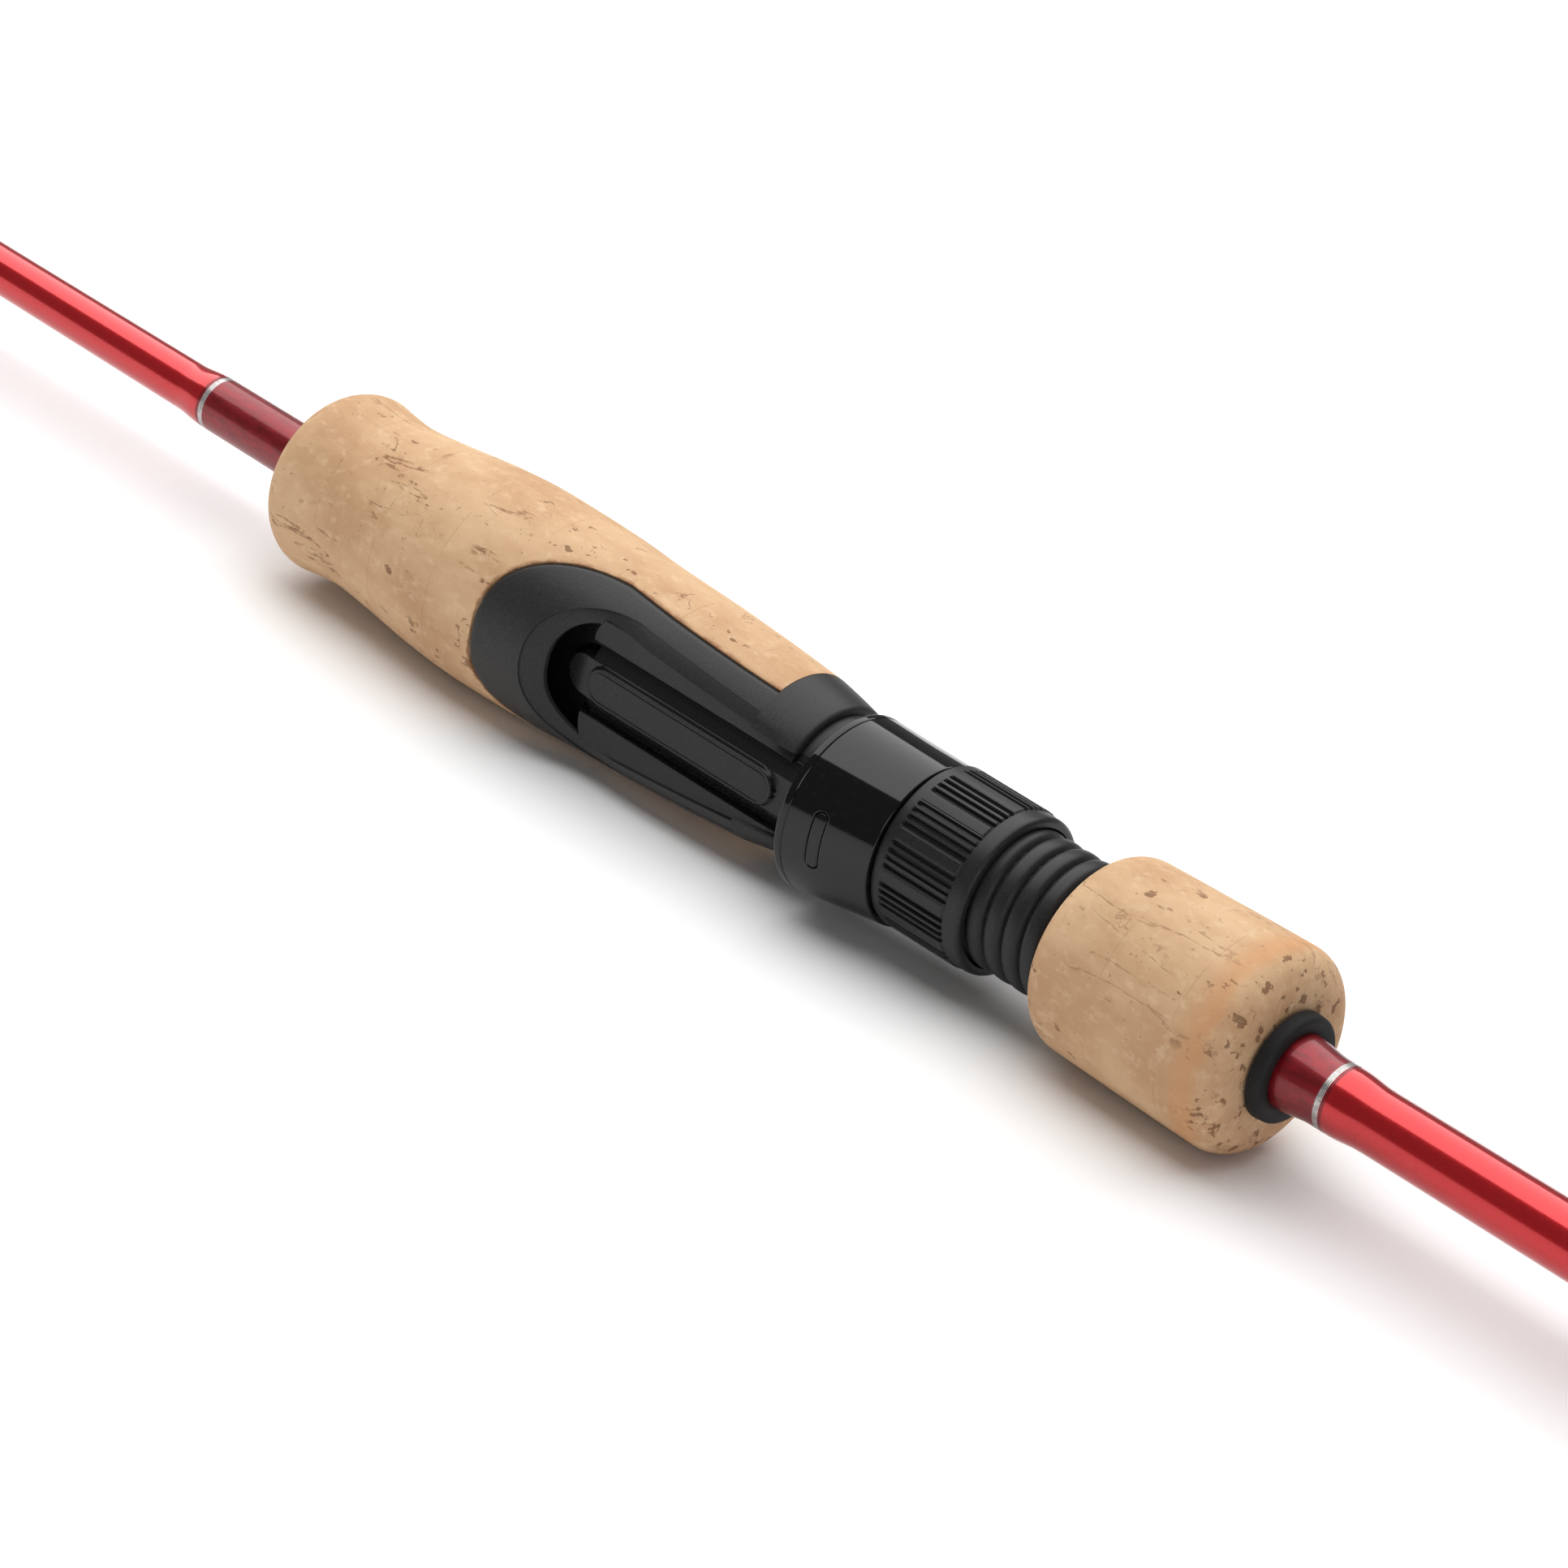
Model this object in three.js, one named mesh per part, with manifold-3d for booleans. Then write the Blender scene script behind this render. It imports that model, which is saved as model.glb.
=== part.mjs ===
// A two-piece light spinning rod with a split cork handle and an up-locking reel seat.
// Millimetres. X runs along the rod from the butt to the tip, +Y is the side that carries
// the reel and the guides, and Z is up while the rod lies on its side.
// The origin is the centre of the butt cap's flat end.
import * as THREE from 'three';
import { mergeVertices } from 'three/addons/utils/BufferGeometryUtils.js';
import Module from 'manifold-3d';

const wasm = await Module();
wasm.setup();

// ---------------------------------------------------------------- driving sizes
const rodLength = 1830;
const fitGap = 0.3;             // between two pieces that touch
const footGap = 0.2;            // between a guide foot, the blank and the thread over it

// blank: outer diameters at three stations, and the wall
const blankStart = 4;
const buttDiameter = 10.05;
const shoulderX = 420;
const shoulderDiameter = 7.2;
const tipDiameter = 1.7;
const tipTopReach = 8;          // from the blank's end to the tip of the rod
const blankWall = 0.8;
const tipBore = 0.7;

// joint between the two sections: the tip section's sleeve slides over the butt section
const ferruleBehindMiddle = 15;
const ferruleLength = 75;
const ferruleClearance = 0.2;
const ferruleWall = 0.6;
const ferruleShoulder = 30;

// butt grip
const buttCapLength = 13;
const buttCapRadius = 14.1;
const buttCapRound = 2.5;
const corkPitch = 12.7;         // a butt cork ring is half an inch wide
const buttCorkCount = 6;
const buttGripRearRadius = 13.9;
const buttGripFrontRadius = 11.8;
const gripEdgeRound = 4.5;

// winding checks, wraps and trim bands
const checkRadius = 8;
const checkLength = 2.2;
const wrapThickness = 0.3;
const wrapGap = 0.12;           // between the blank and the thread wound on it
const buttWrapLength = 7;
const rearWrapLength = 6;
const trimLength = 1;
const ferruleWrapLength = 16;

// rear cork grip and reel seat, from the butt towards the tip
const rearCorkX = 170;
const rearCorkLength = 34.5;
const rearCorkRings = 3;
const rearCorkRearRadius = 15.25;
const rearCorkFrontRadius = 14.3;
const exposedThread = 12.5;
const nutLength = 15.7;
const nutWall = 1.5;
const nutRound = 1.6;
const hoodLength = 14.6;
const hoodToCollar = 4.5;
const collarLength = 7.8;
const collarRearHeight = 0.95;  // above the seat's tube
const seatTubeRadius = 10.35;
const seatBoreRadius = 6.7;
const arborLength = 12;

// sliding hood: a round shell with an arch over the reel foot, whose circle is shifted
// towards the reel and stands higher than the seat's tube
const hoodBoreClearance = 0.3;
const hoodShellWall = 1.2;
const hoodRearArch = { shift: 0.9, height: 1.75 };
const hoodFrontArch = { shift: 2.7, height: 3.05 };
const hoodWall = 1.5;

// foregrip: height above the seat's tube at distances from the collar, on a grip that is
// foregripSpan long; the shape stretches with the grip's own length
const foregripLength = 96;
const foregripRings = 8;
const foregripRound = 6.5;
const foregripSpan = 96;
const foregripStations = [
  [0, 2.5], [9, 3.2], [20, 3.85], [32, 4.3], [40, 4.8], [50, 5.05],
  [58, 5], [66, 4.4], [74, 3.45], [82, 2.75], [87, 3.1], [90.5, 3.55], [96, 3.55],
];
const seatFrontRings = 5;       // the seat's tube ends at the joint after this many rings

// window in the foregrip that shows the seat, and the recess for the reel foot
const windowApex = 48.5;        // from the collar's front
const windowArch = 18.7;
const windowHalfWidth = 13.9;
const windowRearHalfWidth = 11.6;
const openingApex = 34.4;
const openingArch = 11;
const openingHalfWidth = 9.2;
const openingRearHalfWidth = 6.5;
const recessDepth = 1.15;       // of the floor below the top of the seat's tube
const recessFloorHalfWidth = 5.5;
const recessFlankSlope = 0.24;
const recessUnderHood = 10;     // how far the floor runs on under the sliding hood
const padHeight = 0.7;
const padHalfWidth = 2.8;
const padRearX = 5.5;           // behind the collar's front
const padFrontX = 30;           // ahead of the collar's front
const pocketDepth = 8.5;        // beyond the opening's arch
const pocketHalfWidth = 7.6;
const pocketRoofHeight = 3.95;  // above the seat's tube
const pocketMouth = 8;          // how far the pocket starts behind the arch

// front wrap
const frontWrapLength = 21;

// guides: ring outer radius, ring section, ring centre above the blank, wire and foot.
// The first stands behind the joint between the sections, and the others are measured from
// the tip on a tip section that is guideSpan long, and spread out with it.
const guideSpan = 930;
const guides = [
  { name: 'guide_1', behindJoint: 61, ring: 10, section: 1.15, height: 17, wire: 0.8, foot: 13 },
  { name: 'guide_2', fromTip: 724, ring: 5, section: 0.75, height: 9.5, wire: 0.6, foot: 10 },
  { name: 'guide_3', fromTip: 521, ring: 3.7, section: 0.6, height: 7.4, wire: 0.5, foot: 9 },
  { name: 'guide_4', fromTip: 356, ring: 3.2, section: 0.55, height: 6.6, wire: 0.5, foot: 8 },
  { name: 'guide_5', fromTip: 219, ring: 3.2, section: 0.55, height: 6.2, wire: 0.5, foot: 8 },
  { name: 'guide_6', fromTip: 102, ring: 3.2, section: 0.55, height: 6, wire: 0.5, foot: 8 },
];
const hoopThickness = 0.6;
const hoopWidth = 1.6;
const guideLean = 12;           // degrees towards the tip
const footThickness = 0.7;
const footHalfWidth = 1.1;
const guideThread = 0.45;
const tipTop = { ring: 3.2, section: 0.55, height: 4.6, tube: 9, wall: 0.35, wrap: 6 };

// ---------------------------------------------------------------- places that follow
const ferruleX = rodLength / 2 - ferruleBehindMiddle;
const buttCorkX = buttCapLength + fitGap;
const buttCorkEnd = buttCapLength + buttCorkCount * corkPitch;
const threadX = rearCorkX + rearCorkLength;
const nutX = threadX + exposedThread;
const hoodX = nutX + nutLength;
const hoodFrontX = hoodX + hoodLength;
const collarX = hoodFrontX + hoodToCollar;
const collarFrontX = collarX + collarLength;
const foregripEnd = collarFrontX + foregripLength;
const seatFrontX = collarFrontX + (seatFrontRings * foregripLength) / foregripRings;
const blankEnd = rodLength - tipTopReach;
const ferruleEnd = ferruleX + ferruleLength;
const recessFloor = seatTubeRadius - recessDepth;
const pocketRoofRadius = seatTubeRadius + pocketRoofHeight;
const movingBore = seatTubeRadius + hoodBoreClearance;

const gripSegments = 24;
const smallSegments = 16;

// ---------------------------------------------------------------- helpers
const mix = (a, b, t) => a + (b - a) * t;

// straight between stations given as [place, value]
function between(stations, x) {
  let i = 1;
  while (i < stations.length - 1 && x > stations[i][0]) i += 1;
  const [x0, y0] = stations[i - 1];
  const [x1, y1] = stations[i];
  return mix(y0, y1, (x - x0) / (x1 - x0));
}

// smooth through stations given as [place, value]
function smoothBetween(stations, x) {
  const last = stations.length - 1;
  let i = 1;
  while (i < last && x > stations[i][0]) i += 1;
  const slope = (k) => {
    const a = stations[Math.max(k - 1, 0)];
    const b = stations[Math.min(k + 1, last)];
    return (b[1] - a[1]) / (b[0] - a[0]);
  };
  const [x0, y0] = stations[i - 1];
  const [x1, y1] = stations[i];
  const h = x1 - x0;
  const t = THREE.MathUtils.clamp((x - x0) / h, 0, 1);
  const a = y0 * (1 + 2 * t) * (1 - t) ** 2 + y1 * t * t * (3 - 2 * t);
  return a + h * (slope(i - 1) * t * (1 - t) ** 2 - slope(i) * t * t * (1 - t));
}

// one closed mesh with shared corners and its faces pointing out
function closed(geometry) {
  const bare = geometry.clone();
  bare.deleteAttribute('normal');
  bare.deleteAttribute('uv');
  const merged = mergeVertices(bare, 1e-4);
  const index = merged.index.array;
  const position = merged.attributes.position;
  const kept = [];
  const corners = [new THREE.Vector3(), new THREE.Vector3(), new THREE.Vector3()];
  let volume = 0;
  for (let i = 0; i < index.length; i += 3) {
    const [a, b, c] = [index[i], index[i + 1], index[i + 2]];
    if (a === b || b === c || c === a) continue;
    kept.push(a, b, c);
    corners.forEach((corner, k) => corner.fromBufferAttribute(position, [a, b, c][k]));
    volume += corners[0].dot(corners[1].clone().cross(corners[2]));
  }
  if (volume < 0) kept.reverse();
  merged.setIndex(kept);
  return merged;
}

function solid(geometry) {
  const mesh = closed(geometry);
  return new wasm.Manifold(new wasm.Mesh({
    numProp: 3,
    vertProperties: new Float32Array(mesh.attributes.position.array),
    triVerts: new Uint32Array(mesh.index.array),
  }));
}

function geometryOf(manifold) {
  const mesh = manifold.getMesh();
  const geometry = new THREE.BufferGeometry();
  geometry.setAttribute('position', new THREE.BufferAttribute(mesh.vertProperties, 3));
  geometry.setIndex(new THREE.BufferAttribute(mesh.triVerts, 1));
  return geometry;
}

// a closed profile of [x, radius] turned about the rod's axis
function turned(profile, segments = gripSegments) {
  const loop = [...profile, profile[0]];
  const points = loop.map(([x, radius]) => new THREE.Vector2(radius, x));
  return new THREE.LatheGeometry(points, segments).rotateZ(-Math.PI / 2);
}

// a tube from x0 to x1 whose outer and inner radii are functions of x
function sleeve(x0, x1, outer, inner, steps = 1, segments = gripSegments) {
  const places = Array.from({ length: steps + 1 }, (_, i) => mix(x0, x1, i / steps));
  const outside = places.map((x) => [x, outer(x)]);
  const inside = [places[steps], places[0]].map((x) => [x, inner(x)]);
  return turned([...outside, ...inside], segments);
}

// a flat outline of [x, z] carried along +Y from low to high
function upright(outline, low, high) {
  const shape = new THREE.Shape(outline.map(([x, z]) => new THREE.Vector2(x, -z)));
  const block = new THREE.ExtrudeGeometry(shape, { depth: high - low, bevelEnabled: false });
  return block.rotateX(-Math.PI / 2).translate(0, low, 0);
}

// a cross-section of [z, y] carried along X
function lengthwise(section, x0, x1) {
  const shape = new THREE.Shape(section.map(([z, y]) => new THREE.Vector2(-z, y)));
  const block = new THREE.ExtrudeGeometry(shape, { depth: x1 - x0, bevelEnabled: false });
  return block.rotateY(Math.PI / 2).translate(x0, 0, 0);
}

// a U: straight sides from the rear, closed by an arch that ends at the apex
function archOutline(rearX, apexX, archLength, rearHalfWidth, halfWidth, power, steps = 9) {
  const springX = apexX - archLength;
  const side = [[rearX, rearHalfWidth]];
  for (let i = 0; i <= steps; i += 1) {
    const angle = (i / steps) * (Math.PI / 2);
    const along = Math.sin(angle) ** (2 / power);
    const across = Math.cos(angle) ** (2 / power);
    side.push([springX + archLength * along, halfWidth * across]);
  }
  const other = side.slice(0, -1).reverse().map(([x, z]) => [x, -z]);
  return [...side.slice(0, -1), [apexX, 0], ...other];
}

// a cylinder along X whose radius depends on x and on the angle from +Y
function shapedShell(x0, x1, radiusAt, rings, segments) {
  const tube = new THREE.CylinderGeometry(1, 1, x1 - x0, segments, rings);
  tube.rotateZ(-Math.PI / 2).translate((x0 + x1) / 2, 0, 0);
  const position = tube.attributes.position;
  for (let i = 0; i < position.count; i += 1) {
    const y = position.getY(i);
    const z = position.getZ(i);
    const reach = Math.hypot(y, z);
    if (reach < 0.5) continue;
    const radius = radiusAt(position.getX(i), Math.atan2(z, y));
    position.setY(i, (y / reach) * radius);
    position.setZ(i, (z / reach) * radius);
  }
  return tube;
}

// a round wire along a curve
function wire(points, radius) {
  const curve = new THREE.CatmullRomCurve3(points.map((p) => new THREE.Vector3(...p)));
  const corners = Array.from({ length: 6 }, (_, i) => {
    const angle = (i * Math.PI) / 3;
    return new THREE.Vector2(radius * Math.cos(angle), radius * Math.sin(angle));
  });
  const options = { steps: 5, bevelEnabled: false, extrudePath: curve };
  return new THREE.ExtrudeGeometry(new THREE.Shape(corners), options);
}

const rod = new THREE.Group();

function add(name, geometry, look) {
  const mesh = new THREE.Mesh(closed(geometry), new THREE.MeshStandardMaterial(look));
  mesh.name = name;
  rod.add(mesh);
}

const cork = { color: 0xdeb88e, roughness: 0.85, metalness: 0 };
const rubber = { color: 0x161617, roughness: 0.8, metalness: 0 };
const seatPlastic = { color: 0x3a3a3c, roughness: 0.5, metalness: 0 };
const glossPlastic = { color: 0x141414, roughness: 0.1, metalness: 0 };
const nutPlastic = { color: 0x2c2c2e, roughness: 0.55, metalness: 0 };
const foam = { color: 0xc8c4b8, roughness: 0.9, metalness: 0 };
const redLacquer = { color: 0xb01a22, roughness: 0.15, metalness: 0.3 };
const wrapThread = { color: 0x5a141f, roughness: 0.2, metalness: 0 };
const silver = { color: 0xc8c4c4, roughness: 0.3, metalness: 0.8 };
const guideMetal = { color: 0x8a8c90, roughness: 0.25, metalness: 1 };
const ceramic = { color: 0x2a2a2e, roughness: 0.15, metalness: 0 };

// ---------------------------------------------------------------- the blank
function blankRadius(x) {
  const stations = [
    [blankStart, buttDiameter],
    [shoulderX, shoulderDiameter],
    [blankEnd, tipDiameter],
  ];
  return between(stations, x) / 2;
}

function addBlanks() {
  const joined = [blankStart, shoulderX, ferruleEnd];
  const butt = [
    ...joined.map((x) => [x, blankRadius(x)]),
    ...joined.reverse().map((x) => [x, blankRadius(x) - blankWall]),
  ];
  add('butt_blank', turned(butt, smallSegments), redLacquer);

  const sleeveEnd = ferruleEnd + fitGap;
  const shoulderEnd = sleeveEnd + ferruleShoulder;
  const socket = (x) => blankRadius(x) + ferruleClearance;
  const tip = [
    [ferruleX, socket(ferruleX) + ferruleWall],
    [sleeveEnd, socket(sleeveEnd) + ferruleWall],
    [shoulderEnd, blankRadius(shoulderEnd)],
    [blankEnd, blankRadius(blankEnd)],
    [blankEnd, tipBore / 2],
    [shoulderEnd, blankRadius(shoulderEnd) - blankWall],
    [sleeveEnd, socket(sleeveEnd) - ferruleWall],
    [sleeveEnd, socket(sleeveEnd)],
    [ferruleX, socket(ferruleX)],
  ];
  add('tip_blank', turned(tip, smallSegments), redLacquer);

  const sleeveRadius = (x) => socket(x) + ferruleWall;
  const inner = (x) => sleeveRadius(x) + wrapGap;
  const outer = (x) => inner(x) + wrapThickness;
  const wrapEnd = ferruleX + ferruleWrapLength;
  add('ferrule_wrap', sleeve(ferruleX, wrapEnd, outer, inner, 1, smallSegments), wrapThread);
}

const overBlank = (x) => blankRadius(x) + fitGap;

// ---------------------------------------------------------------- cork
// an edge rounded by a quarter circle: how far the surface sinks at a distance from the end
function edgeDrop(distance, round) {
  if (distance >= round) return 0;
  return round - Math.sqrt(round * round - (round - distance) ** 2);
}

// a number of cork rings between two places, each with its own surface steps
function corkRings(x0, x1, count, outer, edges) {
  const rings = [];
  for (let k = 0; k < count; k += 1) {
    const from = mix(x0, x1, k / count) + fitGap / 2;
    const to = mix(x0, x1, (k + 1) / count) - fitGap / 2;
    const places = [from, mix(from, to, 1 / 3), mix(from, to, 2 / 3), to];
    const rounded = edges.flatMap(({ end, round }) => [0.12, 0.35, 0.7].map((share) => (
      end === x0 ? end + round * share : end - round * share)));
    const inside = rounded.filter((x) => x > from + 0.3 && x < to - 0.3);
    const all = [...places, ...inside].sort((a, b) => a - b);
    const kept = all.filter((x, i) => i === 0 || x - all[i - 1] > 0.3 || x === to);
    rings.push({ from, to, places: kept, outer });
  }
  return rings;
}

function ringGeometry({ from, to, places, outer }, bore) {
  const outside = places.map((x) => [x, outer(x)]);
  return turned([...outside, [to, bore(to)], [from, bore(from)]]);
}

function buttGripRadius(x) {
  const share = (x - buttCorkX) / (buttCorkEnd - buttCorkX);
  return mix(buttGripRearRadius, buttGripFrontRadius, share) - edgeDrop(buttCorkEnd - x, gripEdgeRound);
}

function rearCorkRadius(x) {
  const share = (x - rearCorkX) / rearCorkLength;
  const side = mix(rearCorkRearRadius, rearCorkFrontRadius, share ** 1.3);
  const rear = edgeDrop(x - rearCorkX, gripEdgeRound);
  return side - rear - edgeDrop(threadX - x, gripEdgeRound);
}

function foregripRadius(x) {
  const along = ((x - collarFrontX) * foregripSpan) / foregripLength;
  const side = seatTubeRadius + smoothBetween(foregripStations, along);
  return side - edgeDrop(foregripEnd - x, foregripRound);
}

// ---------------------------------------------------------------- outlines on the reel side
const windowOutline = (inset, rearX) => archOutline(
  rearX, collarFrontX + windowApex - inset, windowArch - inset,
  windowRearHalfWidth - inset, windowHalfWidth - inset, 3.2);

const openingOutline = () => archOutline(
  collarX, collarFrontX + openingApex, openingArch, openingRearHalfWidth, openingHalfWidth, 2.3);

const aboveRod = 30;            // higher than anything on the reel side

// ---------------------------------------------------------------- handle
function addButtGrip() {
  const cap = [
    [0, 0],
    [0, buttCapRadius - buttCapRound],
    [buttCapRound * 0.3, buttCapRadius - buttCapRound * 0.3],
    [buttCapRound, buttCapRadius],
    [buttCapLength, buttCapRadius],
    [buttCapLength, overBlank(blankStart)],
    [blankStart - fitGap, overBlank(blankStart)],
    [blankStart - fitGap, 0],
  ];
  add('butt_cap', turned(cap), rubber);
  const edges = [{ end: buttCorkEnd, round: gripEdgeRound }];
  const rings = corkRings(buttCapLength, buttCorkEnd, buttCorkCount, buttGripRadius, edges);
  rings.forEach((ring, i) => {
    add(`butt_cork_${i + 1}`, ringGeometry(ring, overBlank), cork);
  });
  addWinding('butt', buttCorkEnd, 1, buttWrapLength, true);
}

// winding check, thread wrap and trim band, outwards from a grip's end
function addWinding(name, gripEnd, way, wrapLength, withCheck) {
  const place = (distance) => gripEnd + way * distance;
  const span = (a, b) => [Math.min(place(a), place(b)), Math.max(place(a), place(b))];
  let start = fitGap;
  if (withCheck) {
    const face = place(start + checkLength);
    const check = [
      [place(start), checkRadius],
      [place(start + checkLength * 0.6), checkRadius - 0.2],
      [face, checkRadius - 1.2],
      [face, overBlank(face) + 0.4],
      [place(start), overBlank(face) + 0.4],
    ];
    add(`${name}_check`, turned(check, gripSegments), rubber);
    start += checkLength + fitGap;
  }
  const wrapInner = (x) => blankRadius(x) + wrapGap;
  const wrapOuter = (x) => wrapInner(x) + wrapThickness;
  const [w0, w1] = span(start, start + wrapLength);
  add(`${name}_wrap`, sleeve(w0, w1, wrapOuter, wrapInner, 1, smallSegments), wrapThread);
  const bandStart = start + wrapLength + fitGap;
  const [b0, b1] = span(bandStart, bandStart + trimLength);
  add(`${name}_trim`, sleeve(b0, b1, wrapOuter, wrapInner, 1, smallSegments), silver);
}

function addRearGrip() {
  const edges = [
    { end: rearCorkX, round: gripEdgeRound },
    { end: threadX, round: gripEdgeRound },
  ];
  const rings = corkRings(rearCorkX, threadX, rearCorkRings, rearCorkRadius, edges);
  rings.forEach((ring, i) => {
    add(`rear_cork_${i + 1}`, ringGeometry(ring, overBlank), cork);
  });
  addWinding('rear', rearCorkX, -1, rearWrapLength, true);
}

function addForegrip() {
  const edges = [{ end: foregripEnd, round: foregripRound }];
  const window = solid(upright(windowOutline(0, collarX), 0, aboveRod));
  const rings = corkRings(collarFrontX, foregripEnd, foregripRings, foregripRadius, edges);
  rings.forEach((ring, i) => {
    const overSeat = () => seatTubeRadius + fitGap;
    const bore = i < seatFrontRings ? overSeat : overBlank;
    const whole = solid(ringGeometry(ring, bore));
    const inWindow = ring.from < collarFrontX + windowApex;
    const cut = inWindow ? whole.subtract(window) : whole;
    add(`foregrip_cork_${i + 1}`, geometryOf(cut), cork);
  });
  addWinding('front', foregripEnd, 1, frontWrapLength, false);
}

// ---------------------------------------------------------------- reel seat
function addSeat() {
  const tubeFront = seatFrontX - fitGap / 2;
  const tubeRear = threadX + fitGap;
  const tube = solid(sleeve(tubeRear, tubeFront, () => seatTubeRadius, () => seatBoreRadius));

  // the shell that fills the window, flush with the cork, and the collar behind it
  const shellEnd = collarFrontX + windowApex;
  const places = Array.from({ length: 10 }, (_, i) => mix(collarFrontX, shellEnd, i / 9));
  const round = places.map((x) => [x, foregripRadius(x)]);
  const core = seatBoreRadius + 1;
  const flush = solid(turned([...round, [shellEnd, core], [collarFrontX, core]], 36));
  const patch = solid(upright(windowOutline(fitGap, collarFrontX), fitGap, aboveRod));
  const collarFrontRadius = foregripRadius(collarFrontX);
  const collarRearRadius = seatTubeRadius + collarRearHeight;
  const collar = solid(turned([
    [collarX, collarRearRadius],
    [collarX + collarLength * 0.35, mix(collarRearRadius, collarFrontRadius, 0.5)],
    [collarFrontX, collarFrontRadius],
    [collarFrontX, core],
    [collarX, core],
  ], 36));

  // the recess: a trough with sloping flanks inside the opening, and the pocket ahead of it
  const wide = 14;
  const flankTop = recessFloor + (wide - recessFloorHalfWidth) * recessFlankSlope;
  const floorRear = hoodFrontX - recessUnderHood;
  const opening = solid(upright(openingOutline(), 0, aboveRod));
  const rearStretch = solid(upright([
    [floorRear, openingRearHalfWidth],
    [collarX, openingRearHalfWidth],
    [collarX, -openingRearHalfWidth],
    [floorRear, -openingRearHalfWidth],
  ], 0, aboveRod));
  const trough = solid(lengthwise([
    [-wide, flankTop],
    [-recessFloorHalfWidth, recessFloor],
    [recessFloorHalfWidth, recessFloor],
    [wide, flankTop],
    [wide, aboveRod],
    [-wide, aboveRod],
  ], floorRear, shellEnd));
  const pocketEnd = collarFrontX + openingApex + pocketDepth;
  const pocketRear = collarFrontX + openingApex - pocketMouth;
  const pocketPlan = solid(upright(
    archOutline(pocketRear, pocketEnd, pocketDepth, pocketHalfWidth, pocketHalfWidth, 2.6),
    recessFloor, aboveRod));
  const roof = solid(turned([
    [pocketRear - 1, 0],
    [pocketRear - 1, pocketRoofRadius],
    [pocketEnd + 1, pocketRoofRadius],
    [pocketEnd + 1, 0],
  ], 36));

  // the raised pad that carries the foot
  const padRear = collarFrontX - padRearX;
  const padFront = collarFrontX + padFrontX;
  const padPlan = [];
  for (let i = 0; i <= 6; i += 1) {
    const angle = -Math.PI / 2 + (Math.PI * i) / 6;
    padPlan.push([padFront + padHalfWidth * (Math.cos(angle) - 1), padHalfWidth * Math.sin(angle)]);
  }
  const padRearEnd = [...padPlan].reverse().map(([x, z]) => [padRear + padFront - x, z]);
  const pad = solid(upright([...padPlan, ...padRearEnd], recessFloor - 1, recessFloor + padHeight));

  const body = tube
    .add(flush.intersect(patch))
    .add(collar)
    .subtract(opening.add(rearStretch).intersect(trough))
    .subtract(pocketPlan.intersect(roof))
    .add(pad)
    .subtract(solid(turned([
      [tubeRear - 1, 0],
      [tubeRear - 1, seatBoreRadius],
      [tubeFront + 1, seatBoreRadius],
      [tubeFront + 1, 0],
    ])));
  add('seat_body', geometryOf(body), seatPlastic);

  // arbors that centre the seat on the blank
  const arborRadius = () => seatBoreRadius - fitGap;
  const room = (tubeFront - tubeRear - 3 * arborLength) / 4;
  for (let i = 0; i < 3; i += 1) {
    const x = tubeRear + room + i * (room + arborLength);
    const ring = sleeve(x, x + arborLength, arborRadius, overBlank, 1, smallSegments);
    add(`seat_arbor_${i + 1}`, ring, foam);
  }
}

// distance from the axis to a circle that is shifted towards the reel side
function archRadius(shift, radius, angle) {
  return shift * Math.cos(angle) + Math.sqrt(radius ** 2 - (shift * Math.sin(angle)) ** 2);
}

function addHoodAndNut() {
  const rear = hoodX + fitGap / 2;
  const rearRadius = seatTubeRadius + hoodRearArch.height;
  const frontRadius = seatTubeRadius + hoodFrontArch.height;
  const outside = (x, angle) => {
    const t = (x - rear) / (hoodFrontX - rear);
    const shift = mix(hoodRearArch.shift, hoodFrontArch.shift, t);
    const radius = mix(rearRadius, frontRadius, t);
    return Math.max(movingBore + hoodShellWall, archRadius(shift, radius, angle));
  };
  const inside = (x, angle) => {
    const t = THREE.MathUtils.clamp((x - rear) / (hoodFrontX - rear), 0, 1);
    const shift = mix(0, hoodFrontArch.shift, t);
    const radius = mix(movingBore, frontRadius - hoodWall, t);
    return Math.max(movingBore, archRadius(shift, radius, angle));
  };
  const shell = solid(shapedShell(rear, hoodFrontX, outside, 3, 28));
  const hollow = solid(shapedShell(rear - 1, hoodFrontX + 1, inside, 4, 28));
  add('sliding_hood', geometryOf(shell.subtract(hollow)), glossPlastic);

  const front = hoodX - fitGap / 2;
  const nutRadius = movingBore + nutWall;
  const nut = [
    [nutX, movingBore],
    [nutX, nutRadius - nutRound],
    [nutX + nutRound * 0.3, nutRadius - nutRound * 0.3],
    [nutX + nutRound, nutRadius],
    [front, nutRadius],
    [front, movingBore],
  ];
  add('lock_nut', turned(nut, 32), nutPlastic);
}

// ---------------------------------------------------------------- guides
// the hole in the thread over a guide foot, as [z, y] points round the blank
function overFoot(blank, extra) {
  const top = blank + footGap + footThickness + footGap;
  const side = footHalfWidth + footGap;
  const corner = Math.atan2(side, top);
  const angles = Array.from({ length: 16 }, (_, i) => ((i + 0.5) * Math.PI) / 8);
  const all = [...angles, corner, 2 * Math.PI - corner].sort((a, b) => a - b);
  return all.map((angle) => {
    const ahead = Math.cos(angle);
    const beside = Math.abs(Math.sin(angle));
    const box = ahead > 0 ? Math.min(top / ahead, side / Math.max(beside, 1e-6)) : 0;
    const radius = Math.max(blank + footGap, box) + extra;
    return [radius * Math.sin(angle), radius * ahead];
  });
}

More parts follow.
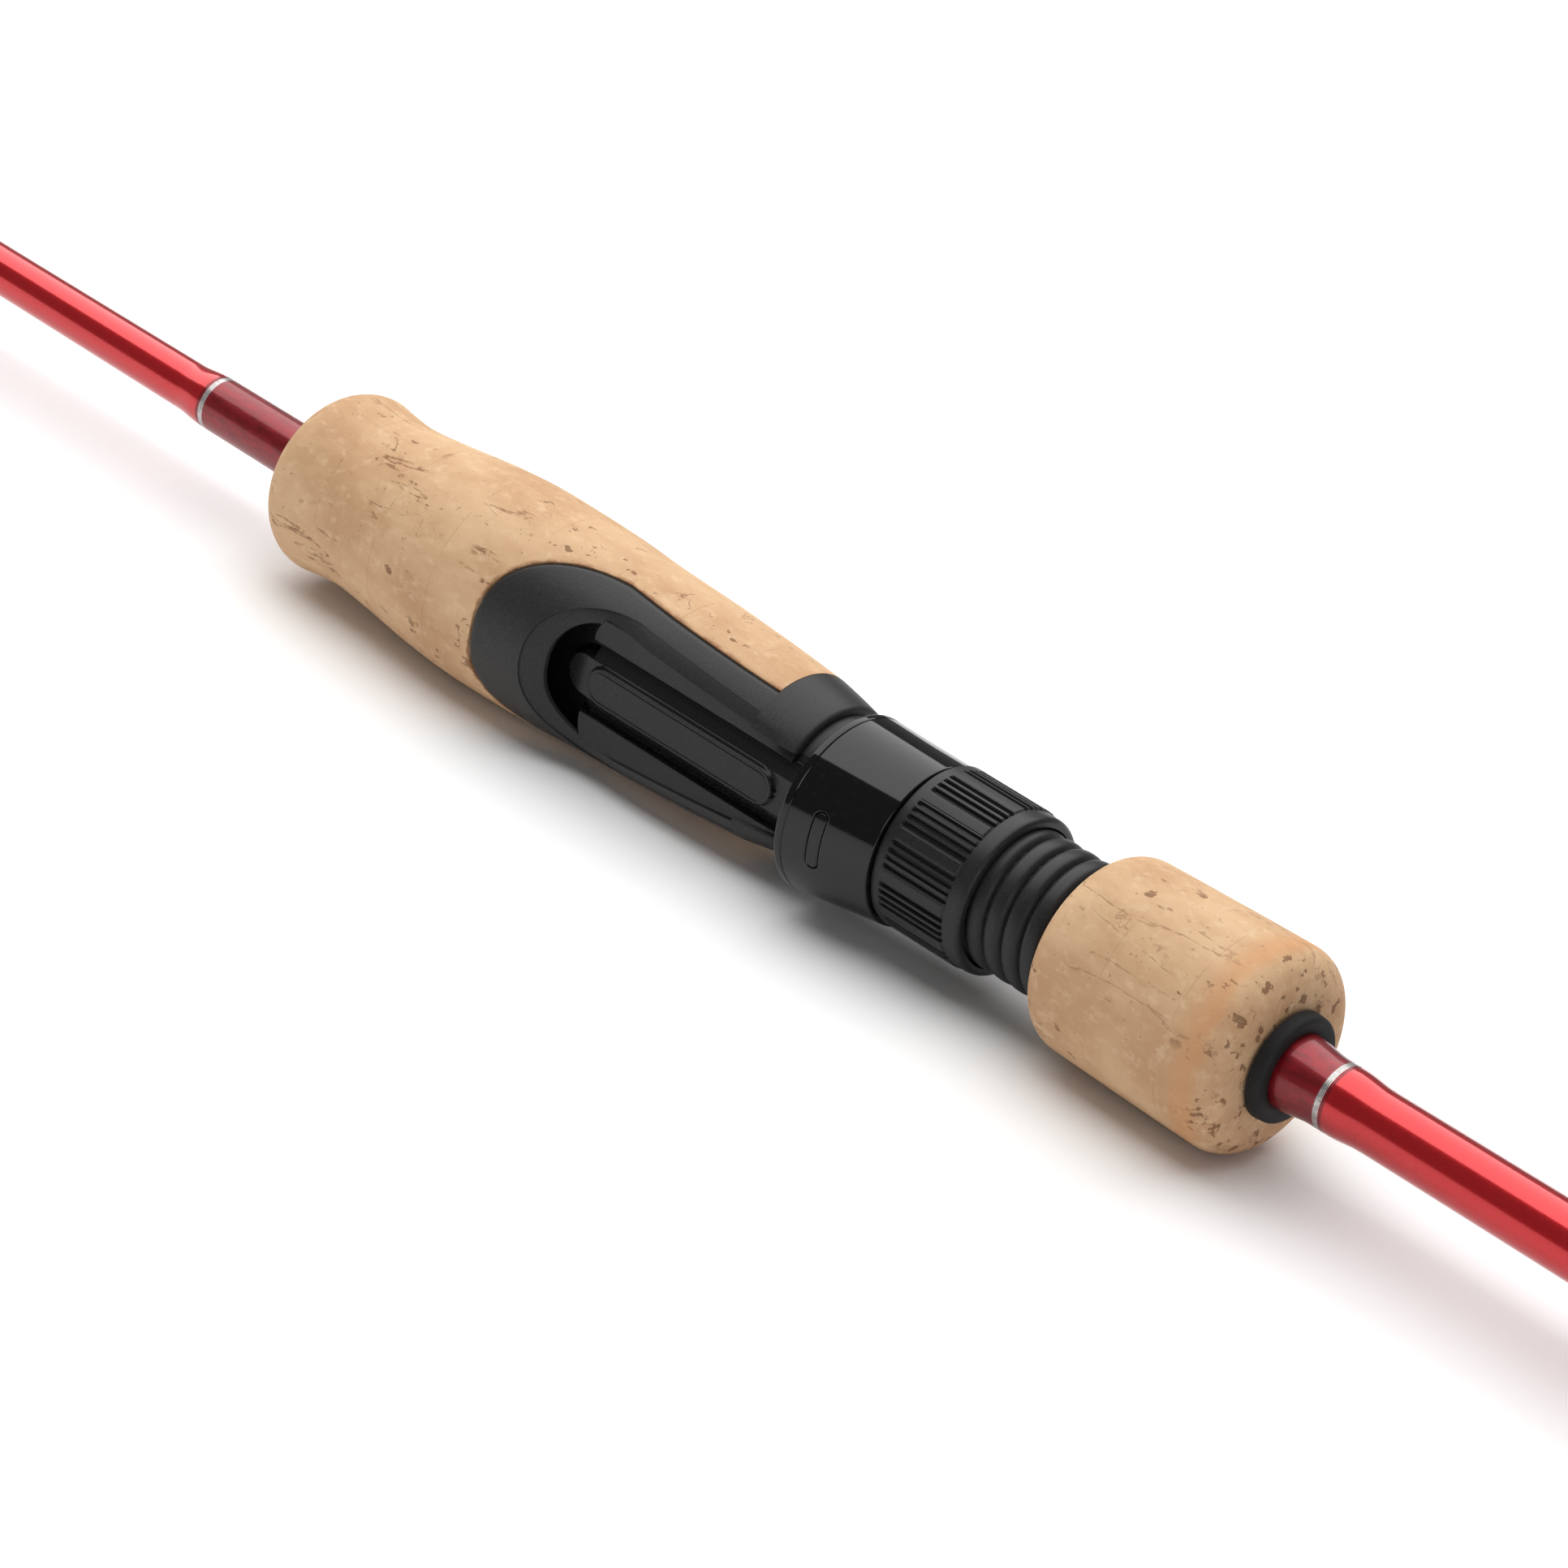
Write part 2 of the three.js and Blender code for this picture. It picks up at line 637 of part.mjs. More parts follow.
function footWrap(x0, x1) {
  const blank = Math.max(blankRadius(x0), blankRadius(x1));
  const toVector = ([z, y]) => new THREE.Vector2(-z, y);
  const shape = new THREE.Shape(overFoot(blank, guideThread).map(toVector));
  shape.holes.push(new THREE.Path(overFoot(blank, 0).map(toVector)));
  const block = new THREE.ExtrudeGeometry(shape, { depth: x1 - x0, bevelEnabled: false });
  return block.rotateY(Math.PI / 2).translate(x0, 0, 0);
}

// a foot lies on the blank: its height falls to nothing at the far end
function foot(x0, x1, blank) {
  const low = blank + footGap;
  const high = low + footThickness;
  const tip = mix(x0, x1, 0.97);
  const side = new THREE.Shape([
    new THREE.Vector2(x0, low),
    new THREE.Vector2(x0, high),
    new THREE.Vector2(mix(x0, x1, 0.6), high),
    new THREE.Vector2(tip, low + footThickness * 0.3),
    new THREE.Vector2(x1, low),
  ]);
  const block = new THREE.ExtrudeGeometry(side, { depth: 2 * footHalfWidth, bevelEnabled: false });
  return block.translate(0, 0, -footHalfWidth);
}

function hoopSolid(centre, ring) {
  const inner = ring + footGap;
  const outer = inner + hoopThickness;
  const half = hoopWidth / 2;
  const profile = [[-half, inner], [-half, outer], [half, outer], [half, inner]];
  const hoop = turned(profile, smallSegments).rotateZ((-guideLean * Math.PI) / 180);
  return solid(hoop.translate(...centre));
}

function ringGeometryAt(centre, ring, section) {
  const profile = Array.from({ length: 8 }, (_, i) => {
    const angle = (i * Math.PI) / 4 + Math.PI / 8;
    return [section * Math.cos(angle), ring - section + section * Math.sin(angle)];
  });
  const torus = turned(profile, smallSegments).rotateZ((-guideLean * Math.PI) / 180);
  return torus.translate(...centre);
}

// two wires from the hoop's shoulders down to a point on a foot
function legs(centre, ring, footX, footY, wireRadius) {
  const reach = ring + footGap + hoopThickness / 2;
  return [-1, 1].map((side) => {
    const angle = Math.PI * 0.22;
    const start = [centre[0], centre[1] - reach * Math.cos(angle), side * reach * Math.sin(angle)];
    const end = [footX, footY, side * (footHalfWidth - wireRadius)];
    const middle = start.map((value, k) => mix(value, end[k], 0.5));
    middle[2] = mix(start[2], end[2], 0.62);
    return solid(wire([start, middle, end], wireRadius));
  });
}

function guidePlace({ behindJoint, fromTip }) {
  if (behindJoint) return ferruleX - behindJoint;
  return rodLength - (fromTip * (rodLength - ferruleX)) / guideSpan;
}

function addGuide(guide, twoFeet) {
  const { name, ring, section, height, wire: wireRadius, foot: footLength } = guide;
  const x = guidePlace(guide);
  const blank = blankRadius(x - footLength);
  const centre = [x, blank + height, 0];
  const footY = blank + footGap + footThickness / 2;
  const bareFoot = footLength * 0.25;
  const spread = ring * 0.45;
  const ways = twoFeet ? [-1, 1] : [-1];
  let frame = hoopSolid(centre, ring);
  ways.forEach((way) => {
    const heel = x + way * spread;
    const span = [heel, heel + way * footLength];
    frame = frame.add(solid(foot(...span, blank)));
    legs(centre, ring, heel + way * wireRadius, footY, wireRadius).forEach((leg) => {
      frame = frame.add(leg);
    });
    const from = heel + way * bareFoot;
    const to = heel + way * (footLength + 3);
    const suffix = way < 0 ? 'rear' : 'front';
    const label = twoFeet ? `${name}_wrap_${suffix}` : `${name}_wrap`;
    add(label, footWrap(Math.min(from, to), Math.max(from, to)), wrapThread);
  });
  add(`${name}_frame`, geometryOf(frame), guideMetal);
  add(`${name}_ring`, ringGeometryAt(centre, ring, section), ceramic);
}

function addTipTop() {
  const { ring, section, height, tube, wall } = tipTop;
  const reach = ring + footGap + hoopThickness;
  const centre = [rodLength - hoopWidth / 2 - reach * Math.sin((guideLean * Math.PI) / 180), height, 0];
  const inner = tipDiameter / 2 + footGap;
  const outer = inner + wall;
  const tubeEnd = blankEnd + fitGap + 1.2;
  const tubeSolid = solid(turned([
    [blankEnd - tube, outer],
    [tubeEnd, outer],
    [tubeEnd, 0],
    [blankEnd + fitGap, 0],
    [blankEnd + fitGap, inner],
    [blankEnd - tube, inner],
  ], 12));
  let frame = hoopSolid(centre, ring).add(tubeSolid);
  legs(centre, ring, tubeEnd - 0.7, 0, 0.45).forEach((leg) => {
    frame = frame.add(leg);
  });
  add('tip_top_frame', geometryOf(frame), guideMetal);
  add('tip_top_ring', ringGeometryAt(centre, ring, section), ceramic);
  const wrapEnd = blankEnd - tube - fitGap;
  const wrapInner = (x) => blankRadius(x) + wrapGap;
  const wrapOuter = (x) => wrapInner(x) + wrapThickness;
  const wrapStart = wrapEnd - tipTop.wrap;
  add('tip_top_wrap', sleeve(wrapStart, wrapEnd, wrapOuter, wrapInner, 1, smallSegments), wrapThread);
}

addBlanks();
addButtGrip();
addRearGrip();
addSeat();
addHoodAndNut();
addForegrip();
guides.forEach((guide, i) => addGuide(guide, i === 0));
addTipTop();

export default rod;
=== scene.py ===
import math
import bmesh
import bpy
import numpy as np
from mathutils import Matrix, Vector


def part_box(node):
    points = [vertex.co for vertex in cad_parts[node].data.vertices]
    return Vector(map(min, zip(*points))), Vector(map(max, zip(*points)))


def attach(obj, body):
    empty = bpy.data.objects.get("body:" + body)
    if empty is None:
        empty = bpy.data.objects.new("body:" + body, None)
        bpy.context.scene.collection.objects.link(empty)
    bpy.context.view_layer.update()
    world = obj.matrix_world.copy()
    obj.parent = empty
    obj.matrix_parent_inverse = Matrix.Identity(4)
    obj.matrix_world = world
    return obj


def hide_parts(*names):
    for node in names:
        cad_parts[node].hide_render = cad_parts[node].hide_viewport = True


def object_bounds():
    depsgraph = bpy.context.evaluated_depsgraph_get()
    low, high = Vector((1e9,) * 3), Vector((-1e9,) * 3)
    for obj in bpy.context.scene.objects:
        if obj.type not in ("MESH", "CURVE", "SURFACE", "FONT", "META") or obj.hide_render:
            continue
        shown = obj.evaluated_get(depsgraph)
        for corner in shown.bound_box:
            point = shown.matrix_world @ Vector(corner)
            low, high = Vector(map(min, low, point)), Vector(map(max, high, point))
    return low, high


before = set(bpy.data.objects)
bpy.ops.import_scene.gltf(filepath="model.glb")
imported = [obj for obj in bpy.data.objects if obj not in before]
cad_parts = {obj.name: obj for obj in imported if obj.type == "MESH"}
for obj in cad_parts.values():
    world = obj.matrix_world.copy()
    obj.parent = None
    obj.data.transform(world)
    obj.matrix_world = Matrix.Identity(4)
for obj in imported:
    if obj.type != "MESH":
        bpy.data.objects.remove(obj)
cadLow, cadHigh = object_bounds()

# A spinning rod lying on its side. Lengths are in millimetres and become metres in makePiece.
# x runs from the butt to the tip and +y is the reel's side. An angle is counted round the rod
# from +y towards +z.
mm = 0.001


def spanX(first, last=None):
    # where one CAD node, or a row of them, starts and ends along the rod
    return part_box(first)[0].x / mm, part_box(last or first)[1].x / mm


def smooth(a, b, x):
    # 0 below a and 1 above b, with 3t^2 - 2t^3 between them
    t = np.clip((x - a) / (b - a), 0, 1)
    return t * t * (3 - 2 * t)


def through(stations, x):
    # a cubic from each station [place, value] to the next, whose slope at a station is that of
    # the line between its two neighbours
    place, value = np.array(stations, float).T
    slope = np.gradient(value, place)
    slope[1:-1] = (value[2:] - value[:-2]) / (place[2:] - place[:-2])
    i = np.clip(np.searchsorted(place, x) - 1, 0, len(place) - 2)
    wide = place[i + 1] - place[i]
    t = np.clip((x - place[i]) / wide, 0, 1)
    ends = value[i] * (1 + 2 * t) * (1 - t) ** 2 + value[i + 1] * t * t * (3 - 2 * t)
    return ends + wide * (slope[i] * t * (1 - t) ** 2 - slope[i + 1] * t * t * (1 - t))


def edgeDrop(distance, radius):
    # how far a quarter circle has sunk at a distance from the end: r - sqrt(r^2 - (r - d)^2)
    short = np.clip(radius - distance, 0, radius)
    return radius - np.sqrt(radius ** 2 - short ** 2)


def eased(count):
    # 0 to 1 by 1 - cos a, close together near 0
    return 1 - np.cos(np.linspace(0, math.pi / 2, count))


def turns(count):
    return np.linspace(0, 2 * math.pi, count, endpoint=False)


def around(x, radius, angle):
    # (x, r cos a, r sin a), where x and r go down the rows of a grid and a goes across it
    x, radius = [v[:, None] if np.ndim(v) == 1 else v for v in (x, radius)]
    x, radius, angle = np.broadcast_arrays(x, radius, angle)
    return np.stack([x, radius * np.cos(angle), radius * np.sin(angle)], axis=-1)


def grid(points, wrapRows=False, wrapCols=False):
    # a face between each point of a grid and its next neighbours in the row and the column
    rows, cols = points.shape[:2]
    i = np.arange(rows if wrapRows else rows - 1)[:, None]
    j = np.arange(cols if wrapCols else cols - 1)[None, :]
    after, beside = (i + 1) % rows, (j + 1) % cols
    corners = np.broadcast_arrays(i * cols + j, i * cols + beside,
                                  after * cols + beside, after * cols + j)
    return points.reshape(-1, 3), np.stack(corners, axis=-1).reshape(-1, 4)


def shell(outer, inner, wrapCols=False, sideRows=None):
    # a closed wall: two grids of one shape, joined by strips along their open edges
    ends = [grid(np.stack([outer[k], inner[k]]), wrapCols=wrapCols) for k in (0, -1)]
    parts = [grid(outer, wrapCols=wrapCols), grid(inner, wrapCols=wrapCols), *ends]
    if not wrapCols:
        rows = sideRows or len(outer)
        parts += [grid(np.stack([outer[:rows, k], inner[:rows, k]])) for k in (0, -1)]
    return parts


def rounded(corners, steps=5):
    # a line through corners [x, radius, rounding]: each corner is replaced by a curve
    # (1-t)^2 a + 2t(1-t) b + t^2 c that starts and ends at the rounding's distance from it
    points = np.array([c[:2] for c in corners], float)
    share = np.linspace(0, 1, steps + 1)[:, None]
    path = []
    for k, (here, corner) in enumerate(zip(points, corners)):
        back, ahead = points[k - 1] - here, points[(k + 1) % len(points)] - here
        if corner[2] == 0:
            path.append(here[None])
            continue
        a = here + back * min(0.5, corner[2] / np.hypot(*back))
        c = here + ahead * min(0.5, corner[2] / np.hypot(*ahead))
        path.append((1 - share) ** 2 * a + 2 * share * (1 - share) * here + share ** 2 * c)
    return np.concatenate(path)


def wallLoop(x, outer, inner):
    # out along one line of radii and back along the other
    return np.concatenate([np.stack([x, outer], 1), np.stack([x, inner], 1)[::-1]])


def openRound(edge, radius, count):
    # at each x the angles from one edge, round the back, to the other, and the length of the
    # arc from each to the nearer edge
    share = np.linspace(0, 1, count)
    angle = edge[:, None] + share[None, :] * (2 * math.pi - 2 * edge[:, None])
    return angle, np.minimum(share, 1 - share)[None, :] * (2 * math.pi) * radius[:, None]


def turned(profile, columns=96, tilt=0, centre=(0, 0, 0)):
    # a closed loop of [x, radius] carried round the rod, or round a tilted axis at a centre
    x, radius = np.array(profile, float).T
    points = around(x, radius, turns(columns))
    c, s = math.cos(tilt), math.sin(tilt)
    lean = np.array([[c, s, 0], [-s, c, 0], [0, 0, 1]])
    return [grid(points @ lean.T + np.array(centre), True, True)]


def capped(profile, columns=96):
    # an open line of [x, radius] whose two ends lie on the axis, carried round the rod
    x, radius = np.array(profile, float).T
    return [grid(around(x, radius, turns(columns)), wrapCols=True)]


def tube(path, radius, sides=14):
    # a circle carried along a path, square to it, that closes to a point past both ends
    path = np.array(path, float)
    along = np.gradient(path, axis=0)
    along /= np.linalg.norm(along, axis=1)[:, None]
    first = np.cross(along, [0.12, 0.2, 1.0])
    first /= np.linalg.norm(first, axis=1)[:, None]
    second = np.cross(along, first)
    angle = turns(sides)
    c, s = np.cos(angle)[None, :, None], np.sin(angle)[None, :, None]
    ring = c * first[:, None] + s * second[:, None]
    radius = np.broadcast_to(radius, len(path)).astype(float)
    body = path[:, None] + radius[:, None, None] * ring
    starts = [path[0] - along[0] * radius[0] * 0.5, path[-1] + along[-1] * radius[-1] * 0.5]
    tips = [np.broadcast_to(p, (1, sides, 3)) for p in starts]
    return [grid(np.concatenate([tips[0], body, tips[1]]), wrapCols=True)]


def bent(points, steps=24):
    # a smooth path through a few points, by the length between them
    points = np.array(points, float)
    place = np.concatenate([[0], np.cumsum(np.linalg.norm(np.diff(points, axis=0), axis=1))])
    at = np.linspace(0, place[-1], steps)
    return np.stack([through(np.stack([place, points[:, k]], 1), at) for k in range(3)], axis=1)


def makePiece(name, parts, material, replaces=(), body="butt_section", sharp=38):
    # one mesh from several grids: doubles merged, faces out, edges sharper than an angle kept
    counts = [len(points) for points, _ in parts]
    starts = np.cumsum([0, *counts[:-1]])
    points = np.concatenate([p for p, _ in parts]) * mm
    faces = np.concatenate([f + start for (_, f), start in zip(parts, starts)])
    mesh = bpy.data.meshes.new(name)
    mesh.from_pydata(points.tolist(), [], faces.tolist())
    work = bmesh.new()
    work.from_mesh(mesh)
    bmesh.ops.remove_doubles(work, verts=work.verts, dist=1e-6)
    bmesh.ops.recalc_face_normals(work, faces=work.faces)
    work.to_mesh(mesh)
    work.free()
    mesh.shade_smooth()
    mesh.set_sharp_from_angle(angle=math.radians(sharp))
    mesh.materials.append(material)
    piece = bpy.data.objects.new(name, mesh)
    bpy.context.scene.collection.objects.link(piece)
    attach(piece, body)
    if replaces:
        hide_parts(*replaces)
    return piece


def rgb(red, green, blue):
    # a screen colour of 0 to 255 as linear light, by the sRGB curve
    light = [c / 255 for c in (red, green, blue)]
    return (*[c / 12.92 if c <= 0.04045 else ((c + 0.055) / 1.055) ** 2.4 for c in light], 1)


class Finish:
    # a material under construction: its tree, its shader and short calls that add nodes
    labels = {"roughness": "Roughness", "metallic": "Metallic", "coat": "Coat Weight",
              "coatRoughness": "Coat Roughness", "specular": "Specular IOR Level"}

    def __init__(self, name, **settings):
        self.material = bpy.data.materials.new(name)
        self.material.use_nodes = True
        self.tree = self.material.node_tree
        self.shader = self.tree.nodes["Principled BSDF"]
        for label, value in settings.items():
            self.shader.inputs[self.labels[label]].default_value = value
        self.place = self.tree.nodes.new("ShaderNodeTexCoord").outputs["Object"]

    def add(self, kind, inputs, output=0, **options):
        made = self.tree.nodes.new("ShaderNode" + kind)
        for label, value in options.items():
            setattr(made, label, value)
        for label, value in inputs.items():
            self.join(value, made.inputs[label])
        return made.outputs[output]

    def join(self, value, socket):
        if isinstance(value, bpy.types.NodeSocket):
            self.tree.links.new(value, socket)
        else:
            socket.default_value = value

    def math(self, operation, a, b=0.0):
        return self.add("Math", {0: a, 1: b}, operation=operation)

    def plus(self, a, b):
        return self.math("ADD", a, b)

    def minus(self, a, b):
        return self.math("SUBTRACT", a, b)

    def times(self, a, b):
        return self.math("MULTIPLY", a, b)

    def noise(self, scale, detail=3, roughness=0.5, stretch=(1, 1, 1), seed=0.0):
        moved = self.add("Mapping", {"Vector": self.place, "Scale": stretch,
                                     "Location": (seed, seed * 0.7, seed * 1.3)})
        return self.add("TexNoise", {"Vector": moved, "Scale": scale, "Detail": detail,
                                     "Roughness": roughness})

    def ramp(self, value, low, high):
        # 0 below low and 1 above high, smoothly
        return self.add("MapRange", {"Value": value, "From Min": low, "From Max": high},
                        interpolation_type="SMOOTHSTEP")

    def fall(self, value, low, high):
        return self.minus(1.0, self.ramp(value, low, high))

    def blend(self, factor, first, second):
        made = self.tree.nodes.new("ShaderNodeMix")
        made.data_type = "RGBA"
        self.join(factor, made.inputs["Factor"])
        self.join(first, made.inputs[6])
        self.join(second, made.inputs[7])
        return made.outputs[2]

    def along(self):
        return self.add("SeparateXYZ", {"Vector": self.place})

    def colour(self, value):
        self.join(value, self.shader.inputs["Base Color"])

    def rough(self, base, value, share):
        # a base roughness plus a share of a varying value
        self.join(self.plus(base, self.times(value, share)), self.shader.inputs["Roughness"])

    def bump(self, height, strength, distance):
        made = self.add("Bump", {"Height": height, "Strength": strength, "Distance": distance})
        self.join(made, self.shader.inputs["Normal"])


# the brown of stain is painted shade for the gap round the seat's window, not a real stain
corkLook = dict(
    light=rgb(213, 178, 140), dark=rgb(192, 152, 115), pale=rgb(223, 194, 158),
    pit=rgb(116, 78, 52), crack=rgb(138, 98, 68), seam=rgb(178, 138, 100),
    band=rgb(202, 146, 100), gapShade=rgb(126, 74, 42), ringTone=0.14, pitFrom=0.635, pitted=0.74,
    facePits=0.045, crackWidth=0.017, seams=0.3, banded=0.6, gapShadeShare=0.85, roughness=0.82)


def corkFinish(name, seamFrom, pitch, cracked=0.6, band=None, edgeShaded=False):
    # cork: tan clouds and mottle, a slightly different tone for each ring, pits in clusters,
    # broken cracks in patches, a faint seam every pitch and, where asked, painted shade at the edge
    look = corkLook
    f = Finish(name, roughness=look["roughness"], specular=0.25)
    x = f.along()
    ring = f.math("DIVIDE", f.minus(x, seamFrom * mm), pitch * mm)
    tone = f.add("TexWhiteNoise", {"W": f.math("FLOOR", ring)}, noise_dimensions="1D")
    clouds = f.noise(95, 4, 0.6, (0.55, 1, 1))
    mottle = f.noise(620, 5, 0.65, (0.7, 1, 1), seed=2.0)
    grain = f.noise(3800, 3, 0.6, seed=5.0)
    colour = f.blend(f.ramp(clouds, 0.32, 0.68), look["light"], look["dark"])
    colour = f.blend(f.times(f.ramp(mottle, 0.5, 0.72), 0.5), colour, look["pale"])
    colour = f.blend(f.times(tone, look["ringTone"]), colour, look["dark"])
    colour = f.blend(f.times(f.ramp(grain, 0.55, 0.75), 0.16), colour, look["crack"])
    if band:
        # a warm ring where x, shifted a little by the clouds, is near the band
        uneven = f.plus(x, f.times(f.minus(clouds, 0.5), 0.006))
        inBand = f.times(f.ramp(uneven, (band - 2.2) * mm, band * mm),
                         f.fall(uneven, band * mm, (band + 4.5) * mm))
        colour = f.blend(f.times(inBand, look["banded"]), colour, look["band"])

    # pits: the peaks of a fine noise, kept where a broad noise is high and on the end face
    clusters = f.ramp(f.noise(70, 2, 0.5, seed=9.0), 0.46, 0.60)
    pitFrom = look["pitFrom"]
    if band:
        onFace = f.fall(x, (band - 1.8) * mm, (band - 0.6) * mm)
        clusters = f.math("MAXIMUM", clusters, onFace)
        pitFrom = f.minus(pitFrom, f.times(onFace, look["facePits"]))
    pitNoise = f.noise(520, 4, 0.55, (0.62, 1, 1), seed=13.0)
    pits = f.times(f.ramp(pitNoise, pitFrom, f.plus(pitFrom, 0.035)), clusters)
    specks = f.times(f.ramp(f.noise(1500, 2, 0.5, seed=17.0), 0.70, 0.74), 0.55)
    marks = f.math("MAXIMUM", pits, specks)

    # cracks: where a stretched noise passes through one half, 1 - |n - 0.5| / width, kept in
    # patches and broken up by a fine noise
    def nearHalf(value):
        return f.fall(f.math("ABSOLUTE", f.minus(value, 0.5)), 0.0, look["crackWidth"])

    long = nearHalf(f.noise(170, 5, 0.5, (0.16, 1, 1), seed=41.0))
    cross = nearHalf(f.noise(210, 4, 0.55, (1, 0.55, 0.55), seed=47.0))
    patches = f.ramp(f.noise(80, 3, 0.6, (0.6, 1, 1), seed=23.0), 0.52, 0.60)
    others = f.ramp(f.noise(150, 2, 0.6, seed=29.0), 0.60, 0.66)
    cracks = f.math("MAXIMUM", f.times(long, patches), f.times(cross, others))
    cracks = f.times(cracks, f.ramp(f.noise(900, 3, 0.6, seed=53.0), 0.36, 0.56))

    # seams: thin lines where a ring ends, by the distance of x / pitch from a whole number
    toSeam = f.math("ABSOLUTE", f.minus(f.math("FRACT", f.plus(ring, 0.5)), 0.5))
    seam = f.times(f.fall(toSeam, 0.004, 0.016),
                   f.ramp(f.noise(160, 2, 0.5, seed=31.0), 0.38, 0.62))

    colour = f.blend(f.times(seam, look["seams"]), colour, look["seam"])
    colour = f.blend(f.times(cracks, cracked), colour, look["crack"])
    colour = f.blend(f.times(marks, look["pitted"]), colour, look["pit"])
    if edgeShaded:
        # painted shade of the gap between the cork and the seat: a brown band along the window's
        # edge, 1 at the edge and 0 past a width that noise changes
        toEdge = f.add("Attribute", {}, output="Fac", attribute_name="toEdge")
        reach = f.plus(0.35, f.times(f.ramp(mottle, 0.40, 0.75), 0.7))
        gapShade = f.times(f.fall(toEdge, 0.0, reach), look["gapShadeShare"])
        colour = f.blend(gapShade, colour, look["gapShade"])
    f.colour(colour)
    hollow = f.math("MAXIMUM", f.math("MAXIMUM", marks, f.times(cracks, 0.7)), f.times(seam, 0.3))
    f.bump(f.minus(f.times(mottle, 0.22), hollow), 0.55, 0.00022)
    return f.material


def plasticFinish(name, base, light, roughness, speckle):
    # moulded plastic: a fine speckle in the colour, the gloss and the surface, and a slow
    # change of gloss as from handling, r + 0.1 (slow - 0.5) + 0.08 fine
    f = Finish(name, specular=0.28)
    fine = f.noise(5200, 2, 0.6)
    slow = f.noise(60, 2, 0.5, seed=3.0)
    f.colour(f.blend(f.ramp(fine, 0.42, 0.72), base, light))
    f.rough(f.plus(roughness, f.times(f.minus(slow, 0.5), 0.10)), fine, 0.08)
    f.bump(fine, speckle, 0.00005)
    return f.material


def glossFinish(name, base, hair, roughness):
    # polished plastic: almost a mirror, with the slightest waviness and hairline wear
    f = Finish(name, specular=0.4)
    waves = f.noise(70, 2, 0.4)
    hairs = f.noise(2600, 2, 0.5, (0.08, 1, 1), seed=4.0)
    f.colour(f.blend(f.ramp(hairs, 0.55, 0.8), base, hair))
    f.rough(roughness, f.ramp(hairs, 0.5, 0.8), 0.06)
    f.bump(waves, 0.08, 0.0004)
    return f.material


def rubberFinish(name, base, dusty, roughness):
    # matt rubber: a fine pebble in the surface and dusty patches
    f = Finish(name, specular=0.3)
    pebble = f.noise(3000, 3, 0.6)
    dust = f.noise(220, 4, 0.6, seed=6.0)
    f.colour(f.blend(f.ramp(dust, 0.5, 0.8), base, dusty))
    f.rough(roughness, dust, 0.2)
    f.bump(pebble, 0.25, 0.0001)
    return f.material


def lacquerFinish(name, base, deep, flakes, roughness):
    # candy red over carbon: Voronoi cells as flakes under a clear coat, and the faint bands of
    # a wave texture for the tape that the tube was rolled with
    f = Finish(name, metallic=0.66, coat=0.7, coatRoughness=0.05, specular=0.5)
    cells = f.add("TexVoronoi", {"Vector": f.place, "Scale": 4200.0}, output=1)
    flake = f.add("SeparateColor", {"Color": cells})
    slow = f.noise(45, 2, 0.5, (0.2, 1, 1))
    spiral = f.add("TexWave", {"Vector": f.place, "Scale": 52.0, "Distortion": 0.6,
                               "Detail": 1.0}, output=1)
    f.colour(f.blend(f.times(flake, 0.10), f.blend(f.ramp(slow, 0.3, 0.7), base, deep), flakes))
    f.rough(roughness, flake, 0.05)
    f.bump(spiral, 0.04, 0.0001)
    return f.material


def threadFinish(name, dark, bright, metallic, pitch=0.22):
    # thread wound side by side under clear resin: 0.5 + 0.5 sin(2 pi x / pitch) gives the turns
    f = Finish(name, metallic=metallic, coat=0.45, coatRoughness=0.04, specular=0.5)
    wave = f.math("SINE", f.times(f.along(), 2 * math.pi / (pitch * mm)))
    fray = f.noise(1400, 3, 0.6, (0.3, 1, 1))
    lift = f.plus(f.times(wave, 0.5), 0.5)
    f.colour(f.blend(f.times(lift, f.ramp(fray, 0.3, 0.7)), dark, bright))
    f.rough(0.26, fray, 0.16)
    f.bump(lift, 0.35, 0.00003)
    return f.material


def metalFinish(name, base, bright, roughness):
    # polished metal: a noise drawn out square to the rod as fine scratches
    f = Finish(name, metallic=1.0)
    scratches = f.noise(4000, 2, 0.6, (1, 0.1, 0.1))
    f.colour(f.blend(f.ramp(scratches, 0.4, 0.8), base, bright))
    f.rough(roughness, scratches, 0.12)
    f.bump(scratches, 0.05, 0.00004)
    return f.material


def ceramicFinish(name, dark, light, roughness):
    # polished dark ceramic with a faint cloudiness
    f = Finish(name, specular=0.7, coat=0.4, coatRoughness=0.02)
    clouds = f.noise(900, 3, 0.5)
    f.colour(f.blend(clouds, dark, light))
    f.rough(roughness, clouds, 0.06)
    return f.material


def foamFinish(name, dark, light, roughness):
    # rigid foam: open cells, by the distance to the nearest Voronoi point
    f = Finish(name, specular=0.2)
    cells = f.add("TexVoronoi", {"Vector": f.place, "Scale": 1600.0})
    f.colour(f.blend(f.ramp(cells, 0.1, 0.5), dark, light))
    f.rough(roughness, cells, 0.2)
    f.bump(cells, 0.5, 0.0003)
    return f.material


